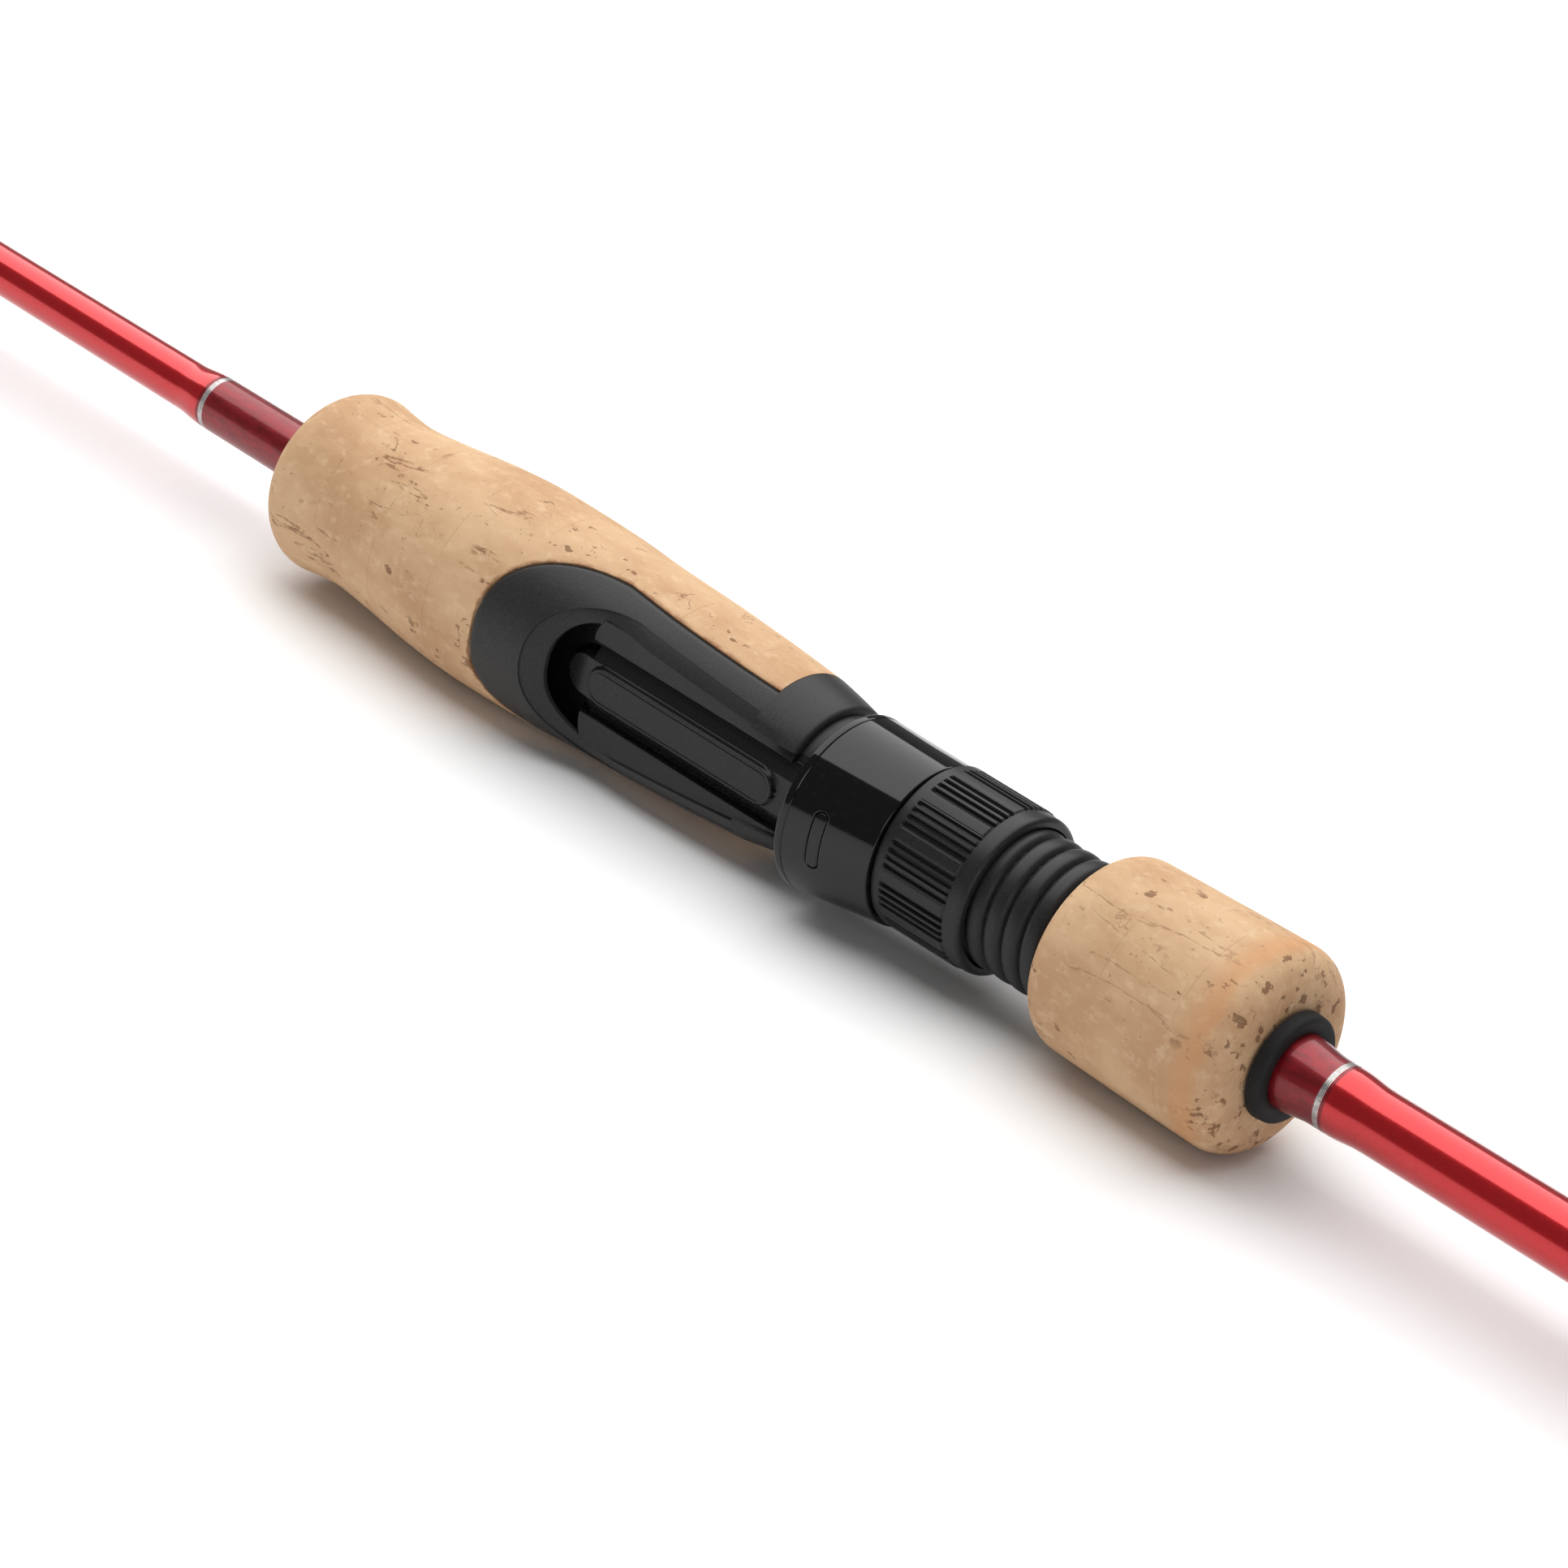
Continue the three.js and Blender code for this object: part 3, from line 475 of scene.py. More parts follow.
# the colours, then the roughness, and for moulded plastic the strength of its speckle. Thread
# has its share of metal instead, and its pitch where it isn't the usual one
seatPlastic = plasticFinish("seatPlastic", rgb(35, 34, 34), rgb(50, 49, 49), 0.42, 0.16)
# the channel's plastic is the seat's plastic with darker colours, as painted shade in the recess
shadedChannelPlastic = plasticFinish("shadedChannelPlastic", rgb(20, 20, 21), rgb(27, 27, 28), 0.24, 0.05)
nutPlastic = plasticFinish("nutPlastic", rgb(28, 28, 29), rgb(42, 42, 44), 0.34, 0.12)
threadPlastic = plasticFinish("threadPlastic", rgb(28, 28, 29), rgb(41, 41, 43), 0.38, 0.12)
hoodGloss = glossFinish("hoodGloss", rgb(6, 6, 6), rgb(20, 19, 18), 0.07)
rubber = rubberFinish("blackRubber", rgb(24, 24, 25), rgb(44, 43, 42), 0.62)
redLacquer = lacquerFinish("redLacquer", rgb(196, 16, 26), rgb(180, 12, 22), rgb(226, 44, 50), 0.20)
burgundyThread = threadFinish("burgundyThread", rgb(112, 5, 18), rgb(158, 14, 32), 0.5)
silverThread = threadFinish("silverThread", rgb(140, 134, 132), rgb(232, 228, 226), 0.75, 0.3)
guideSteel = metalFinish("guideSteel", rgb(138, 140, 145), rgb(190, 192, 196), 0.16)
ceramic = ceramicFinish("darkCeramic", rgb(34, 34, 38), rgb(58, 58, 64), 0.08)
arborFoam = foamFinish("arborFoam", rgb(150, 145, 132), rgb(206, 201, 188), 0.75)
print("materials made")


blank = dict(start=4, buttDiameter=10.05, shoulder=420, shoulderDiameter=7.2, tipDiameter=1.7,
             wall=0.8, sleeveWall=0.6, sleeveGap=0.2, sleeveShoulder=30, columns=72)
blankEnd = spanX("tip_blank")[1]
ferruleStart, ferruleEnd = spanX("tip_blank")[0], spanX("butt_blank")[1]


def blankRadius(x):
    # straight tapers between three diameters
    places = [blank["start"], blank["shoulder"], blankEnd]
    sizes = [blank["buttDiameter"], blank["shoulderDiameter"], blank["tipDiameter"]]
    return np.interp(x, places, sizes) / 2


def makeBlanks():
    x = np.array([blank["start"], 150, 290, blank["shoulder"], 650, ferruleEnd])
    outer, inner = blankRadius(x), blankRadius(x) - blank["wall"]
    loop = wallLoop(x, outer, inner)
    makePiece("butt_tube", turned(loop, blank["columns"]), redLacquer,
              ["butt_blank"])

    gap, wall = blank["sleeveGap"], blank["sleeveWall"]
    socketEnd = ferruleEnd + 0.3
    shoulderEnd = socketEnd + blank["sleeveShoulder"]
    socket = lambda at: blankRadius(at) + gap
    corners = [
        [ferruleStart, socket(ferruleStart) + wall, 0.25],
        [socketEnd, socket(socketEnd) + wall, 8],
        [shoulderEnd, blankRadius(shoulderEnd), 8],
        [blankEnd, blankRadius(blankEnd), 0],
        [blankEnd, 0.35, 0],
        [shoulderEnd, blankRadius(shoulderEnd) - blank["wall"], 0],
        [socketEnd, socket(socketEnd) - wall, 0],
        [socketEnd, socket(socketEnd), 0],
        [ferruleStart, socket(ferruleStart), 0],
    ]
    makePiece("tip_tube", turned(rounded(corners, 8), blank["columns"]),
              redLacquer, ["tip_blank"], "tip_section")


winding = dict(rise=0.42, tail=0.6, checkRadius=8, checkRound=0.7, resinRun=5.5, resinRise=0.4,
               columns=72)


def resinBand(name, x0, x1, rise, material, replaces=(), body="butt_section", bed=-0.15):
    # a sleeve whose height over the blank is given along it, and that starts at its bed
    x = np.linspace(x0, x1, 12)
    share = (x - x0) / (x1 - x0)
    outer = blankRadius(x) + rise(share)
    inner = np.full(len(x), blankRadius(max(x0, x1)) + bed)
    loop = wallLoop(x, outer, inner)
    makePiece(name, turned(loop, winding["columns"]), material, replaces, body)


def makeWinding(name, way, flare, withCheck):
    # check, thread, trim band and the resin that runs out on to the blank, outwards from a grip
    rise = winding["rise"]
    if withCheck:
        x0, x1 = spanX(f"{name}_check")
        near, far = (x0, x1) if way > 0 else (x1, x0)
        r, edge = winding["checkRadius"], winding["checkRound"]
        corners = [
            [near + way * 0.05, r - 0.05, 0.15],
            [far, r - 0.25, edge],
            [far, blankRadius(far) + rise + flare + 0.75, 0.3],
            [far - way * 0.5, blankRadius(far) + 0.2, 0.2],
            [near + way * 0.05, blankRadius(far) + 0.2, 0],
        ]
        makePiece(f"{name}_checkRing", turned(rounded(corners), 96), rubber,
                  [f"{name}_check"])
    w0, w1 = spanX(f"{name}_wrap")
    t0, t1 = spanX(f"{name}_trim")
    wrapNear, wrapFar = (w0, w1) if way > 0 else (w1, w0)
    trimFar = t1 if way > 0 else t0
    tail = way * winding["tail"]
    wrapNear -= way * 0.6  # in under the check
    middle = wrapFar + way * 0.4
    swell = lambda share: rise + flare * (1 - smooth(0, 0.85, share))
    resinBand(f"{name}_thread", wrapNear, middle, swell, burgundyThread,
              [f"{name}_wrap"])
    resinBand(f"{name}_band", middle, trimFar, lambda share: rise + 0 * share,
              silverThread, [f"{name}_trim"])
    resinBand(f"{name}_tail", trimFar, trimFar + tail, lambda share: rise - 0.02 * share,
              burgundyThread)
    trimFar += tail
    runOut = lambda share: winding["resinRise"] * (1 - smooth(0.05, 1, share)) + 0.012
    resinBand(f"{name}_resin", trimFar, trimFar + way * winding["resinRun"], runOut,
              redLacquer)


grips = dict(endRound=4.5, frontRound=6.5, buttRear=13.9, buttFront=11.8,
             rearRear=15.25, rearFront=14.3, columns=144, pitch=12.7, wall=2.3)
buttCapEnd = spanX("butt_cap")[1]
buttEnd = spanX("butt_cork_6")[1] + 0.15
rearStart, rearEnd = spanX("rear_cork_1", "rear_cork_3")
collarFront = spanX("foregrip_cork_1")[0] - 0.15
foregripEnd = spanX("foregrip_cork_8")[1] + 0.15
foregripShape = [
    [0, 12.85], [9, 13.55], [20, 14.2], [32, 14.65], [40, 15.15], [50, 15.4],
    [58, 15.35], [66, 14.75], [74, 13.8], [82, 13.1], [87, 13.45], [90.5, 13.9], [96, 13.9],
]


def foregripRadius(x):
    # the shape through its stations, less the rounded front edge
    side = through(foregripShape, x - collarFront)
    return side - edgeDrop(foregripEnd - x, grips["frontRound"])


def rearCorkRadius(x):
    # a slow taper, less a quarter circle at each end
    share = np.clip((x - rearStart) / (rearEnd - rearStart), 0, 1)
    side = grips["rearRear"] + (grips["rearFront"] - grips["rearRear"]) * share ** 1.3
    ends = edgeDrop(x - rearStart, grips["endRound"]), edgeDrop(rearEnd - x, grips["endRound"])
    return side - ends[0] - ends[1]


def buttCorkRadius(x):
    share = (x - buttCapEnd) / (buttEnd - buttCapEnd)
    side = grips["buttRear"] + (grips["buttFront"] - grips["buttRear"]) * share
    return side - edgeDrop(buttEnd - x, grips["endRound"])


def easedPlaces(x0, x1, step, roundLow, roundHigh):
    # places along x that draw together towards a rounded end
    low = x0 + roundLow * eased(18) if roundLow else [x0]
    high = x1 - roundHigh * eased(18) if roundHigh else [x1]
    count = max(2, int((x1 - roundHigh - x0 - roundLow) / step))
    middle = np.linspace(x0 + roundLow, x1 - roundHigh, count)
    return np.unique(np.concatenate([low, middle, high]).round(5))


def solidGrip(x, radius, bore):
    # a closed loop: the outside by x, and back through the bore
    outer = np.stack([x, radius(x)], 1)
    inner = np.stack([x[[-1, 0]], np.full(2, bore)], 1)
    return turned(np.concatenate([outer, inner]), grips["columns"])


def makeGrips():
    x = easedPlaces(buttCapEnd + 0.15, buttEnd - 0.001, 1.5, 0, grips["endRound"])
    makePiece("butt_corkGrip", solidGrip(x, buttCorkRadius, 5.0),
              corkFinish("buttCork", buttCapEnd, grips["pitch"]),
              [f"butt_cork_{k}" for k in range(1, 7)])
    x = easedPlaces(rearStart + 0.001, rearEnd - 0.001, 1.2, grips["endRound"], grips["endRound"])
    makePiece("rear_corkGrip", solidGrip(x, rearCorkRadius, 4.9),
              corkFinish("rearCork", rearEnd, grips["pitch"], cracked=0.42, band=rearStart + 4.2),
              [f"rear_cork_{k}" for k in range(1, 4)])


window = dict(rear=collarFront, apex=collarFront + 48.5, arch=18.7, rearHalf=11.7, half=13.65,
              power=3.0)
crease = dict(rear=collarFront, apex=collarFront + 38.8, arch=15, rearHalf=9.3, half=11.3,
              power=2.4)
opening = dict(rear=collarFront, apex=collarFront + 35.7, arch=12.3, rearHalf=7.45, half=9.3,
               power=2.6)


def outline(o, inset=0.0, sideSteps=60, archSteps=44):
    # a U in x and z: along the +z side to the arch, x = spring + arch sin(a)^(2/p) and
    # z = half cos(a)^(2/p) over it, and back along the -z side
    spring = o["apex"] - o["arch"]
    a = np.linspace(0, math.pi / 2, archSteps + 1)
    sideX = np.linspace(o["rear"], spring, sideSteps, endpoint=False)
    sideZ = np.interp(sideX, [o["rear"], spring], [o["rearHalf"], o["half"]])
    x = np.concatenate([sideX, spring + (o["arch"] - inset) * np.sin(a) ** (2 / o["power"])])
    z = np.concatenate([sideZ - inset, (o["half"] - inset) * np.abs(np.cos(a)) ** (2 / o["power"])])
    z[-1] = 0
    return np.concatenate([x, x[-2::-1]]), np.concatenate([z, -z[-2::-1]])


def halfWidth(o, x):
    # the same outline as half its width at x
    spring = o["apex"] - o["arch"]
    side = np.interp(x, [o["rear"], spring], [o["rearHalf"], o["half"]])
    share = np.clip((x - spring) / o["arch"], 0, 1)
    return np.where(x < spring, side, o["half"] * (1 - share ** o["power"]) ** (1 / o["power"]))


def makeForegrip():
    # the cork round the seat: at each x the outside runs from one edge of the window, round
    # the back, to the other, so the mesh follows the window's edge
    bend = np.sin(np.linspace(0, math.pi / 2, 40)) ** (2 / window["power"])
    near = window["apex"] - window["arch"] * (1 - bend)
    x = np.concatenate([np.linspace(collarFront + 0.15, near[0], 30, endpoint=False), near])
    beyond = easedPlaces(window["apex"], foregripEnd - 0.001, 0.9, 0, grips["frontRound"])
    sideRows = len(x)
    x = np.concatenate([x, beyond[1:]])
    radius = foregripRadius(x)
    edge = np.where(x < window["apex"] - 1e-6, np.arcsin(halfWidth(window, x) / radius), 0)
    angle, nearEdge = openRound(edge, radius, 181)
    worn = 0.10 * (1 - smooth(0, 0.9, nearEdge)) * (x < window["apex"] + 0.2)[:, None]
    outer = around(x, radius[:, None] - worn, angle)
    inner = around(x, radius - grips["wall"], angle)
    front = inner[-1:].copy()
    front[..., 1:] *= (4.6 / np.linalg.norm(front[..., 1:], axis=-1))[..., None]
    outer = np.concatenate([outer, front])
    inner = np.concatenate([inner, front + np.array([-1.0, 0, 0])])
    # the foregrip's cork gets a painted shade along the window's edge
    finish = corkFinish("foregripCork", foregripEnd, grips["pitch"], cracked=0.9, edgeShaded=True)
    piece = makePiece("foregrip_cork", shell(outer, inner, sideRows=sideRows), finish,
                      [f"foregrip_cork_{k}" for k in range(1, 9)])
    # each vertex's distance to the window's edge in millimetres, at most 3
    points = np.empty(len(piece.data.vertices) * 3)
    piece.data.vertices.foreach_get("co", points)
    points = points.reshape(-1, 3) / mm
    toEdge = np.full(len(points), 3.0)
    near = (points[:, 0] < window["apex"] + 3) & (points[:, 1] > 2)
    ex, ez = outline(window)
    edgeLine = np.stack([ex, np.sqrt(foregripRadius(ex) ** 2 - ez ** 2), ez], axis=1)
    apart = np.linalg.norm(points[near][:, None] - edgeLine[None], axis=2).min(axis=1)
    toEdge[near] = np.minimum(apart, 3)
    piece.data.attributes.new("toEdge", "FLOAT", "POINT").data.foreach_set("value", toEdge)


seat = dict(tube=10.35, threadPitch=3.25, threadDepth=1.0, threadPower=3.3, bore=6.7,
            neckCut=6.6, neckBore=7.6, collar=7.8, collarRadius=11.3, collarRound=0.7,
            collarBore=9.6, neckHalf=6.65, bevelSide=0.5, bevelArch=1.9, skin=1.5, lip=0.6)
collarRear = collarFront - seat["collar"]
tubeRear = spanX("seat_body")[0] - 0.25


def threadRadius(x, angle, x0, x1):
    # a right-handed thread: wide round crests and narrow roots by the phase x/pitch - angle/2pi,
    # R - depth |2u|^p with u from -1/2 to 1/2 across a crest, fading out past x0 and x1
    phase = x / seat["threadPitch"] - angle / (2 * math.pi)
    u = phase - np.floor(phase) - 0.5
    fade = smooth(x0, x0 + 0.8, x) * (1 - smooth(x1 - 0.8, x1, x))
    return seat["tube"] - seat["threadDepth"] * np.abs(2 * u) ** seat["threadPower"] * fade


def makeTube():
    # the threaded stretch, whole, and the neck ahead of it, cut open for the reel foot
    cut = spanX("sliding_hood")[1] - 10
    x, angle = np.linspace(tubeRear, cut, 300)[:, None], turns(120)
    outer = around(x, threadRadius(x, angle, tubeRear - 5, cut + 5), angle)
    parts = shell(outer, around(x, seat["bore"], angle), wrapCols=True)
    edge = math.asin(seat["neckCut"] / seat["tube"])
    x = np.linspace(cut, collarFront + 2, 160)[:, None]
    angle = np.linspace(edge, 2 * math.pi - edge, 100)
    outer = around(x, threadRadius(x, angle, cut - 5, collarRear - 8), angle)
    parts += shell(outer, around(x, seat["neckBore"], angle))
    makePiece("seat_thread", parts, threadPlastic)


def makeCollar():
    # the seat's rear ring: a cone that is cut open for the reel foot, with a rounded rear edge
    edgeRound = seat["collarRound"]
    x = np.concatenate([collarRear + edgeRound * eased(8),
                        np.linspace(collarRear + 0.9, collarFront, 24)])
    share = (x - collarRear) / (collarFront - collarRear)
    rise = foregripRadius(np.array([collarFront]))[0] - seat["collarRadius"]
    radius = seat["collarRadius"] + rise * share ** 0.8 - edgeDrop(x - collarRear, edgeRound)
    half = np.interp(x, [collarRear, collarFront], [seat["neckHalf"], opening["rearHalf"]])
    edge = np.arcsin(half / radius)
    angle, arc = openRound(edge, radius, 121)
    bevel = seat["bevelSide"] * (1 - smooth(0, 1.7, arc))
    bevel = bevel * smooth(collarRear, collarFront, x)[:, None]
    outer = around(x, radius[:, None] - bevel, angle)
    makePiece("seat_collar", shell(outer, around(x, seat["collarBore"], angle)),
              seatPlastic, ["seat_body"])


def makeSkin():
    # the shell in the window: columns run inwards from the window's edge over the crease to
    # the opening, rows run round the U. Height is the grip's own sqrt(R(x)^2 - z^2), less a
    # bevel that deepens from the crease to the opening and more over the arch
    wx, wz = outline(window, inset=0.4)
    cx, cz = outline(crease)
    ox, oz = outline(opening)
    archShare = smooth(opening["apex"] - opening["arch"] - 4, opening["apex"] - 1, ox)
    toCrease = np.concatenate([[0, 0.012, 0.03, 0.06], np.linspace(0.12, 1, 14)])
    toOpening = np.concatenate([[0.025], np.linspace(0.09, 0.9, 10), [0.96, 0.99, 1]])
    x = np.concatenate([wx[:, None] + (cx - wx)[:, None] * toCrease,
                        cx[:, None] + (ox - cx)[:, None] * toOpening], axis=1)
    z = np.concatenate([wz[:, None] + (cz - wz)[:, None] * toCrease,
                        cz[:, None] + (oz - cz)[:, None] * toOpening], axis=1)
    depth = np.concatenate([0 * toCrease, 0.13 + 0.87 * toOpening])
    bevel = seat["bevelSide"] + (seat["bevelArch"] - seat["bevelSide"]) * archShare
    edgeSoft = np.zeros(x.shape[1])
    edgeSoft[:3] = [0.16, 0.06, 0.02]
    edgeSoft[-3:] = [0, 0.02, 0.08]
    radius = foregripRadius(np.minimum(x, foregripEnd))
    top = np.sqrt(radius ** 2 - z ** 2) - bevel[:, None] * depth - edgeSoft
    thick = np.concatenate([np.full(len(toCrease), seat["skin"]),
                            np.linspace(seat["skin"] - 0.1, seat["lip"], len(toOpening))])
    outer = np.stack([x, top, z], axis=-1)
    inner = np.stack([x, top - thick, z], axis=-1)
    makePiece("seat_skin", shell(outer, inner), seatPlastic)


channel = dict(behindRim=8, front=43, middle=6.3, edgeStep=0.45, fluteLow=8.15, fluteHigh=9.85,
               wallZ=5.54, wallTop=9.54, padHalf=2.9, padTop=10.65, padRear=-6.3, padFront=29.9,
               groove=0.10, grooveIn=0.75, grooveWide=0.12, cave=31.4, caveShelf=7.4, nose=34.3,
               noseSlope=2.6, dip=0.35, lowest=7.3, bottom=6.9)


def makeChannel():
    # the channel for the reel foot, as a height over x and z. From the side inwards: a shelf
    # that falls from the opening's edge to the wall, a deep flute, and a raised pad with a
    # stadium outline. The shelves end at the cave and the flutes and floor fall away in it
    c = channel
    rear, front = spanX("sliding_hood")[1] - c["behindRim"], collarFront + c["front"]
    x = np.concatenate([np.linspace(rear, collarFront + 27, 220, endpoint=False),
                        np.linspace(collarFront + 27, front, 120)])[:, None]
    half = np.interp(x, [collarRear, collarFront, opening["apex"] - opening["arch"]],
                     [seat["neckHalf"], opening["rearHalf"], opening["half"]])
    middle = np.linspace(-1, 1, 201)[None, :] * c["middle"]
    beside = np.linspace(0.06, 1, 16)[None, :] * (half + 0.2 - c["middle"]) + c["middle"]
    z = np.concatenate([-beside[:, ::-1], np.broadcast_to(middle, (len(x), 201)), beside], axis=1)
    x = np.broadcast_to(x, z.shape)
    side = np.abs(z)
    # the edge of the collar or of the skin that the shelf meets, a step below it
    grown = np.clip((x - collarRear) / (collarFront - collarRear), 0, 1)
    collar = seat["collarRadius"] + (foregripShape[0][1] - seat["collarRadius"]) * grown ** 0.8
    skin = np.where(x < collarFront, collar, foregripRadius(np.maximum(x, collarFront)))
    edgeTop = np.sqrt(skin ** 2 - half ** 2) - seat["bevelSide"] * grown - c["edgeStep"]
    wallZ, wallTop = c["wallZ"], c["wallTop"]
    shelf = wallTop + (edgeTop - wallTop) * (side - wallZ) / (half - wallZ)
    shelf = np.where(x < collarRear, 0, shelf)
    # under the hood the neck is round, so nothing stands above the tube
    neck = np.sqrt((seat["tube"] - 0.05) ** 2 - np.minimum(side, 9) ** 2)
    shelf = np.maximum(np.minimum(neck, wallTop), shelf)
    mouth = collarFront + c["cave"] - 0.12 * np.clip(side - 5.5, 0, 9) ** 2
    inCave = smooth(-0.7, 0.7, x - mouth)
    shelf = shelf * (1 - inCave) + c["caveShelf"] * inCave
    # the flute's floor climbs from the foot of the wall to the pad, as a straight slope, and
    # falls away in the cave past a rounded front
    padHalf, high = c["padHalf"], c["fluteHigh"]
    climb = np.clip((wallZ - side) / (wallZ - padHalf), 0, 1)
    slope = c["fluteLow"] + (high - c["fluteLow"]) * climb
    nose = np.hypot(x - np.clip(x, rear - 9, collarFront + c["nose"] - padHalf), z) - padHalf
    fallen = c["noseSlope"] * np.clip(nose, 0, 9) * (x > collarFront + 30)
    flute = np.minimum(slope, high - fallen)
    padRear, padFront = collarFront + c["padRear"], collarFront + c["padFront"]
    flute = flute - c["dip"] * smooth(padFront - 0.5, padFront + 4.0, x)
    flute = np.maximum(flute, c["lowest"])
    wall = smooth(wallZ - 0.3, wallZ + 0.05, side)
    height = flute + (shelf - flute) * wall
    # distance to the pad's outline, its step and the fine groove inside it
    along = np.clip(x, padRear + padHalf, padFront - padHalf)
    toPad = np.hypot(x - along, z) - padHalf
    height = height + (c["padTop"] - high) * (1 - smooth(-0.32, 0.08, toPad))
    height = height - c["groove"] * np.exp(-((toPad + c["grooveIn"]) / c["grooveWide"]) ** 2)
    outer = np.stack([x, height, z], -1)
    inner = np.stack([x, np.full_like(height, c["bottom"]), z], -1)
    # its darker plastic is painted shade in the recess
    makePiece("seat_channel", shell(outer, inner), shadedChannelPlastic, sharp=60)


hood = dict(shell=11.85, rearShift=0.9, rearArch=12.1, frontShift=2.7, frontArch=13.4, wall=1.5,
            bore=10.65, rimRound=0.45, lineFromRim=1.25, lineDepth=0.2, lineWide=0.075,
            pillFromRear=8.5, pillHalf=0.95, pillRun=3.3, pillDepth=0.36,
            pillLine=0.085)


def archRadius(shift, radius, angle):
    # a circle shifted towards the reel, seen from the axis: s cos a + sqrt(r^2 - (s sin a)^2)
    return shift * np.cos(angle) + np.sqrt(radius ** 2 - (shift * np.sin(angle)) ** 2)


def softMax(a, b, blend):
    # the larger of two, rounded where they meet
    h = np.clip(0.5 + 0.5 * (a - b) / blend, 0, 1)
    return b + (a - b) * h + blend * h * (1 - h)


def makeHood():
    # a round shell joined softly to the arch over the reel foot. A fine line runs round near
    # its front rim, and another as a stadium outline on the arch: depth e^-(distance / width)^2
    x0, x1 = spanX("sliding_hood")
    x0 -= 0.1
    rim = hood["rimRound"]
    ends = rim * eased(7)
    x = np.unique(np.concatenate([x0 + ends * 0.6, x1 - ends, np.arange(x0 + 0.4, x1 - 0.4, 0.11)]))
    fine = np.linspace(-0.5, 0.5, 300)
    angle = np.concatenate([fine, np.linspace(0.5, 2 * math.pi - 0.5, 150)[1:-1]])
    across = (x - x0) / (x1 - x0)
    shift = hood["rearShift"] + (hood["frontShift"] - hood["rearShift"]) * across
    arch = hood["rearArch"] + (hood["frontArch"] - hood["rearArch"]) * across
    full = softMax(np.full((len(x), len(angle)), hood["shell"]),
                   archRadius(shift[:, None], arch[:, None], angle), 0.35)
    drop = edgeDrop(x1 - x, rim) + 0.6 * edgeDrop((x - x0) / 0.6, rim)
    line = hood["lineDepth"] * np.exp(-((x - (x1 - hood["lineFromRim"])) / hood["lineWide"]) ** 2)
    run = (angle + math.pi) % (2 * math.pi) - math.pi
    arc = run[None, :] * full
    toPill = np.hypot(x[:, None] - (x0 + hood["pillFromRear"]),
                      arc - np.clip(arc, -hood["pillRun"], hood["pillRun"]))
    pill = hood["pillDepth"] * np.exp(-((toPill - hood["pillHalf"]) / hood["pillLine"]) ** 2)
    outer = around(x, full - drop[:, None] - line[:, None] - pill, angle)
    hollowShift = hood["frontShift"] * across
    hollowArch = hood["bore"] + (hood["frontArch"] - hood["wall"] - hood["bore"]) * across
    hollow = np.maximum(hood["bore"], archRadius(hollowShift[:, None], hollowArch[:, None], angle))
    makePiece("hood_shell", shell(outer, around(x, hollow, angle), wrapCols=True),
              hoodGloss, ["sliding_hood"], "hood")


nut = dict(radius=12.15, bore=10.62, lip=2.9, lipDrop=0.28, groups=12, grooves=4, spacing=5.45,
           grooveWide=0.6, grooveDepth=0.62, grooveRun=11.2, fromHood=1.6, phase=-2.0)


def makeNut():
    # grooves in groups: the angle within a group, then the distance to the nearest groove
    x0, x1 = spanX("lock_nut")
    x1 += 0.1
    ends = 0.9 * eased(9)
    grooveFront = x1 - nut["fromHood"]
    grooveRear = grooveFront - nut["grooveRun"]
    steps = np.array([-0.3, -0.15, 0, 0.15, 0.3])
    x = np.unique(np.concatenate([x0 + ends, [x1 - 0.3, x1 - 0.12, x1 - 0.03, x1],
                                  grooveFront + steps, grooveRear + steps,
                                  x0 + nut["lip"] + steps * 0.8,
                                  np.linspace(grooveRear + 0.5, grooveFront - 0.5, 14)]))
    angle = turns(1080)
    pitch = 2 * math.pi / nut["groups"]
    inGroup = (angle - math.radians(nut["phase"])) % pitch - pitch / 2
    spacing = math.radians(nut["spacing"])
    most = (nut["grooves"] - 1) / 2
    nearest = np.clip(np.round(inGroup / spacing + most), 0, nut["grooves"] - 1) - most
    toGroove = np.abs(inGroup - nearest * spacing) * nut["radius"]
    deep = 1 - smooth(nut["grooveWide"] / 2 - 0.10, nut["grooveWide"] / 2 + 0.08, toGroove)
    inRun = smooth(grooveRear - 0.12, grooveRear + 0.12, x)
    inRun = inRun * (1 - smooth(grooveFront - 0.12, grooveFront + 0.12, x))
    # the land beside a group is framed by a shallow recess
    beside = np.abs(np.abs(inGroup) - (most * spacing + math.radians(2.6))) * nut["radius"]
    frameLine = 0.07 * (1 - smooth(0.03, 0.14, beside))
    lip = nut["lipDrop"] * (1 - smooth(x0 + nut["lip"] - 0.25, x0 + nut["lip"] + 0.2, x))
    edges = edgeDrop(x - x0, 0.9) + edgeDrop(x1 - x, 0.12)
    radius = nut["radius"] - lip - edges
    radius = radius[:, None] - (nut["grooveDepth"] * deep + frameLine)[None, :] * inRun[:, None]
    walls = around(x, radius, angle), around(x, nut["bore"], angle)
    makePiece("nut_ring", shell(*walls, wrapCols=True), nutPlastic,
              ["lock_nut"], "nut")


buttCap = dict(radius=14.1, endRadius=12.0, dish=0.35, dishRadius=6.2, bead=10.6, beadDepth=0.3,
               bore=5.3, floor=3.7)


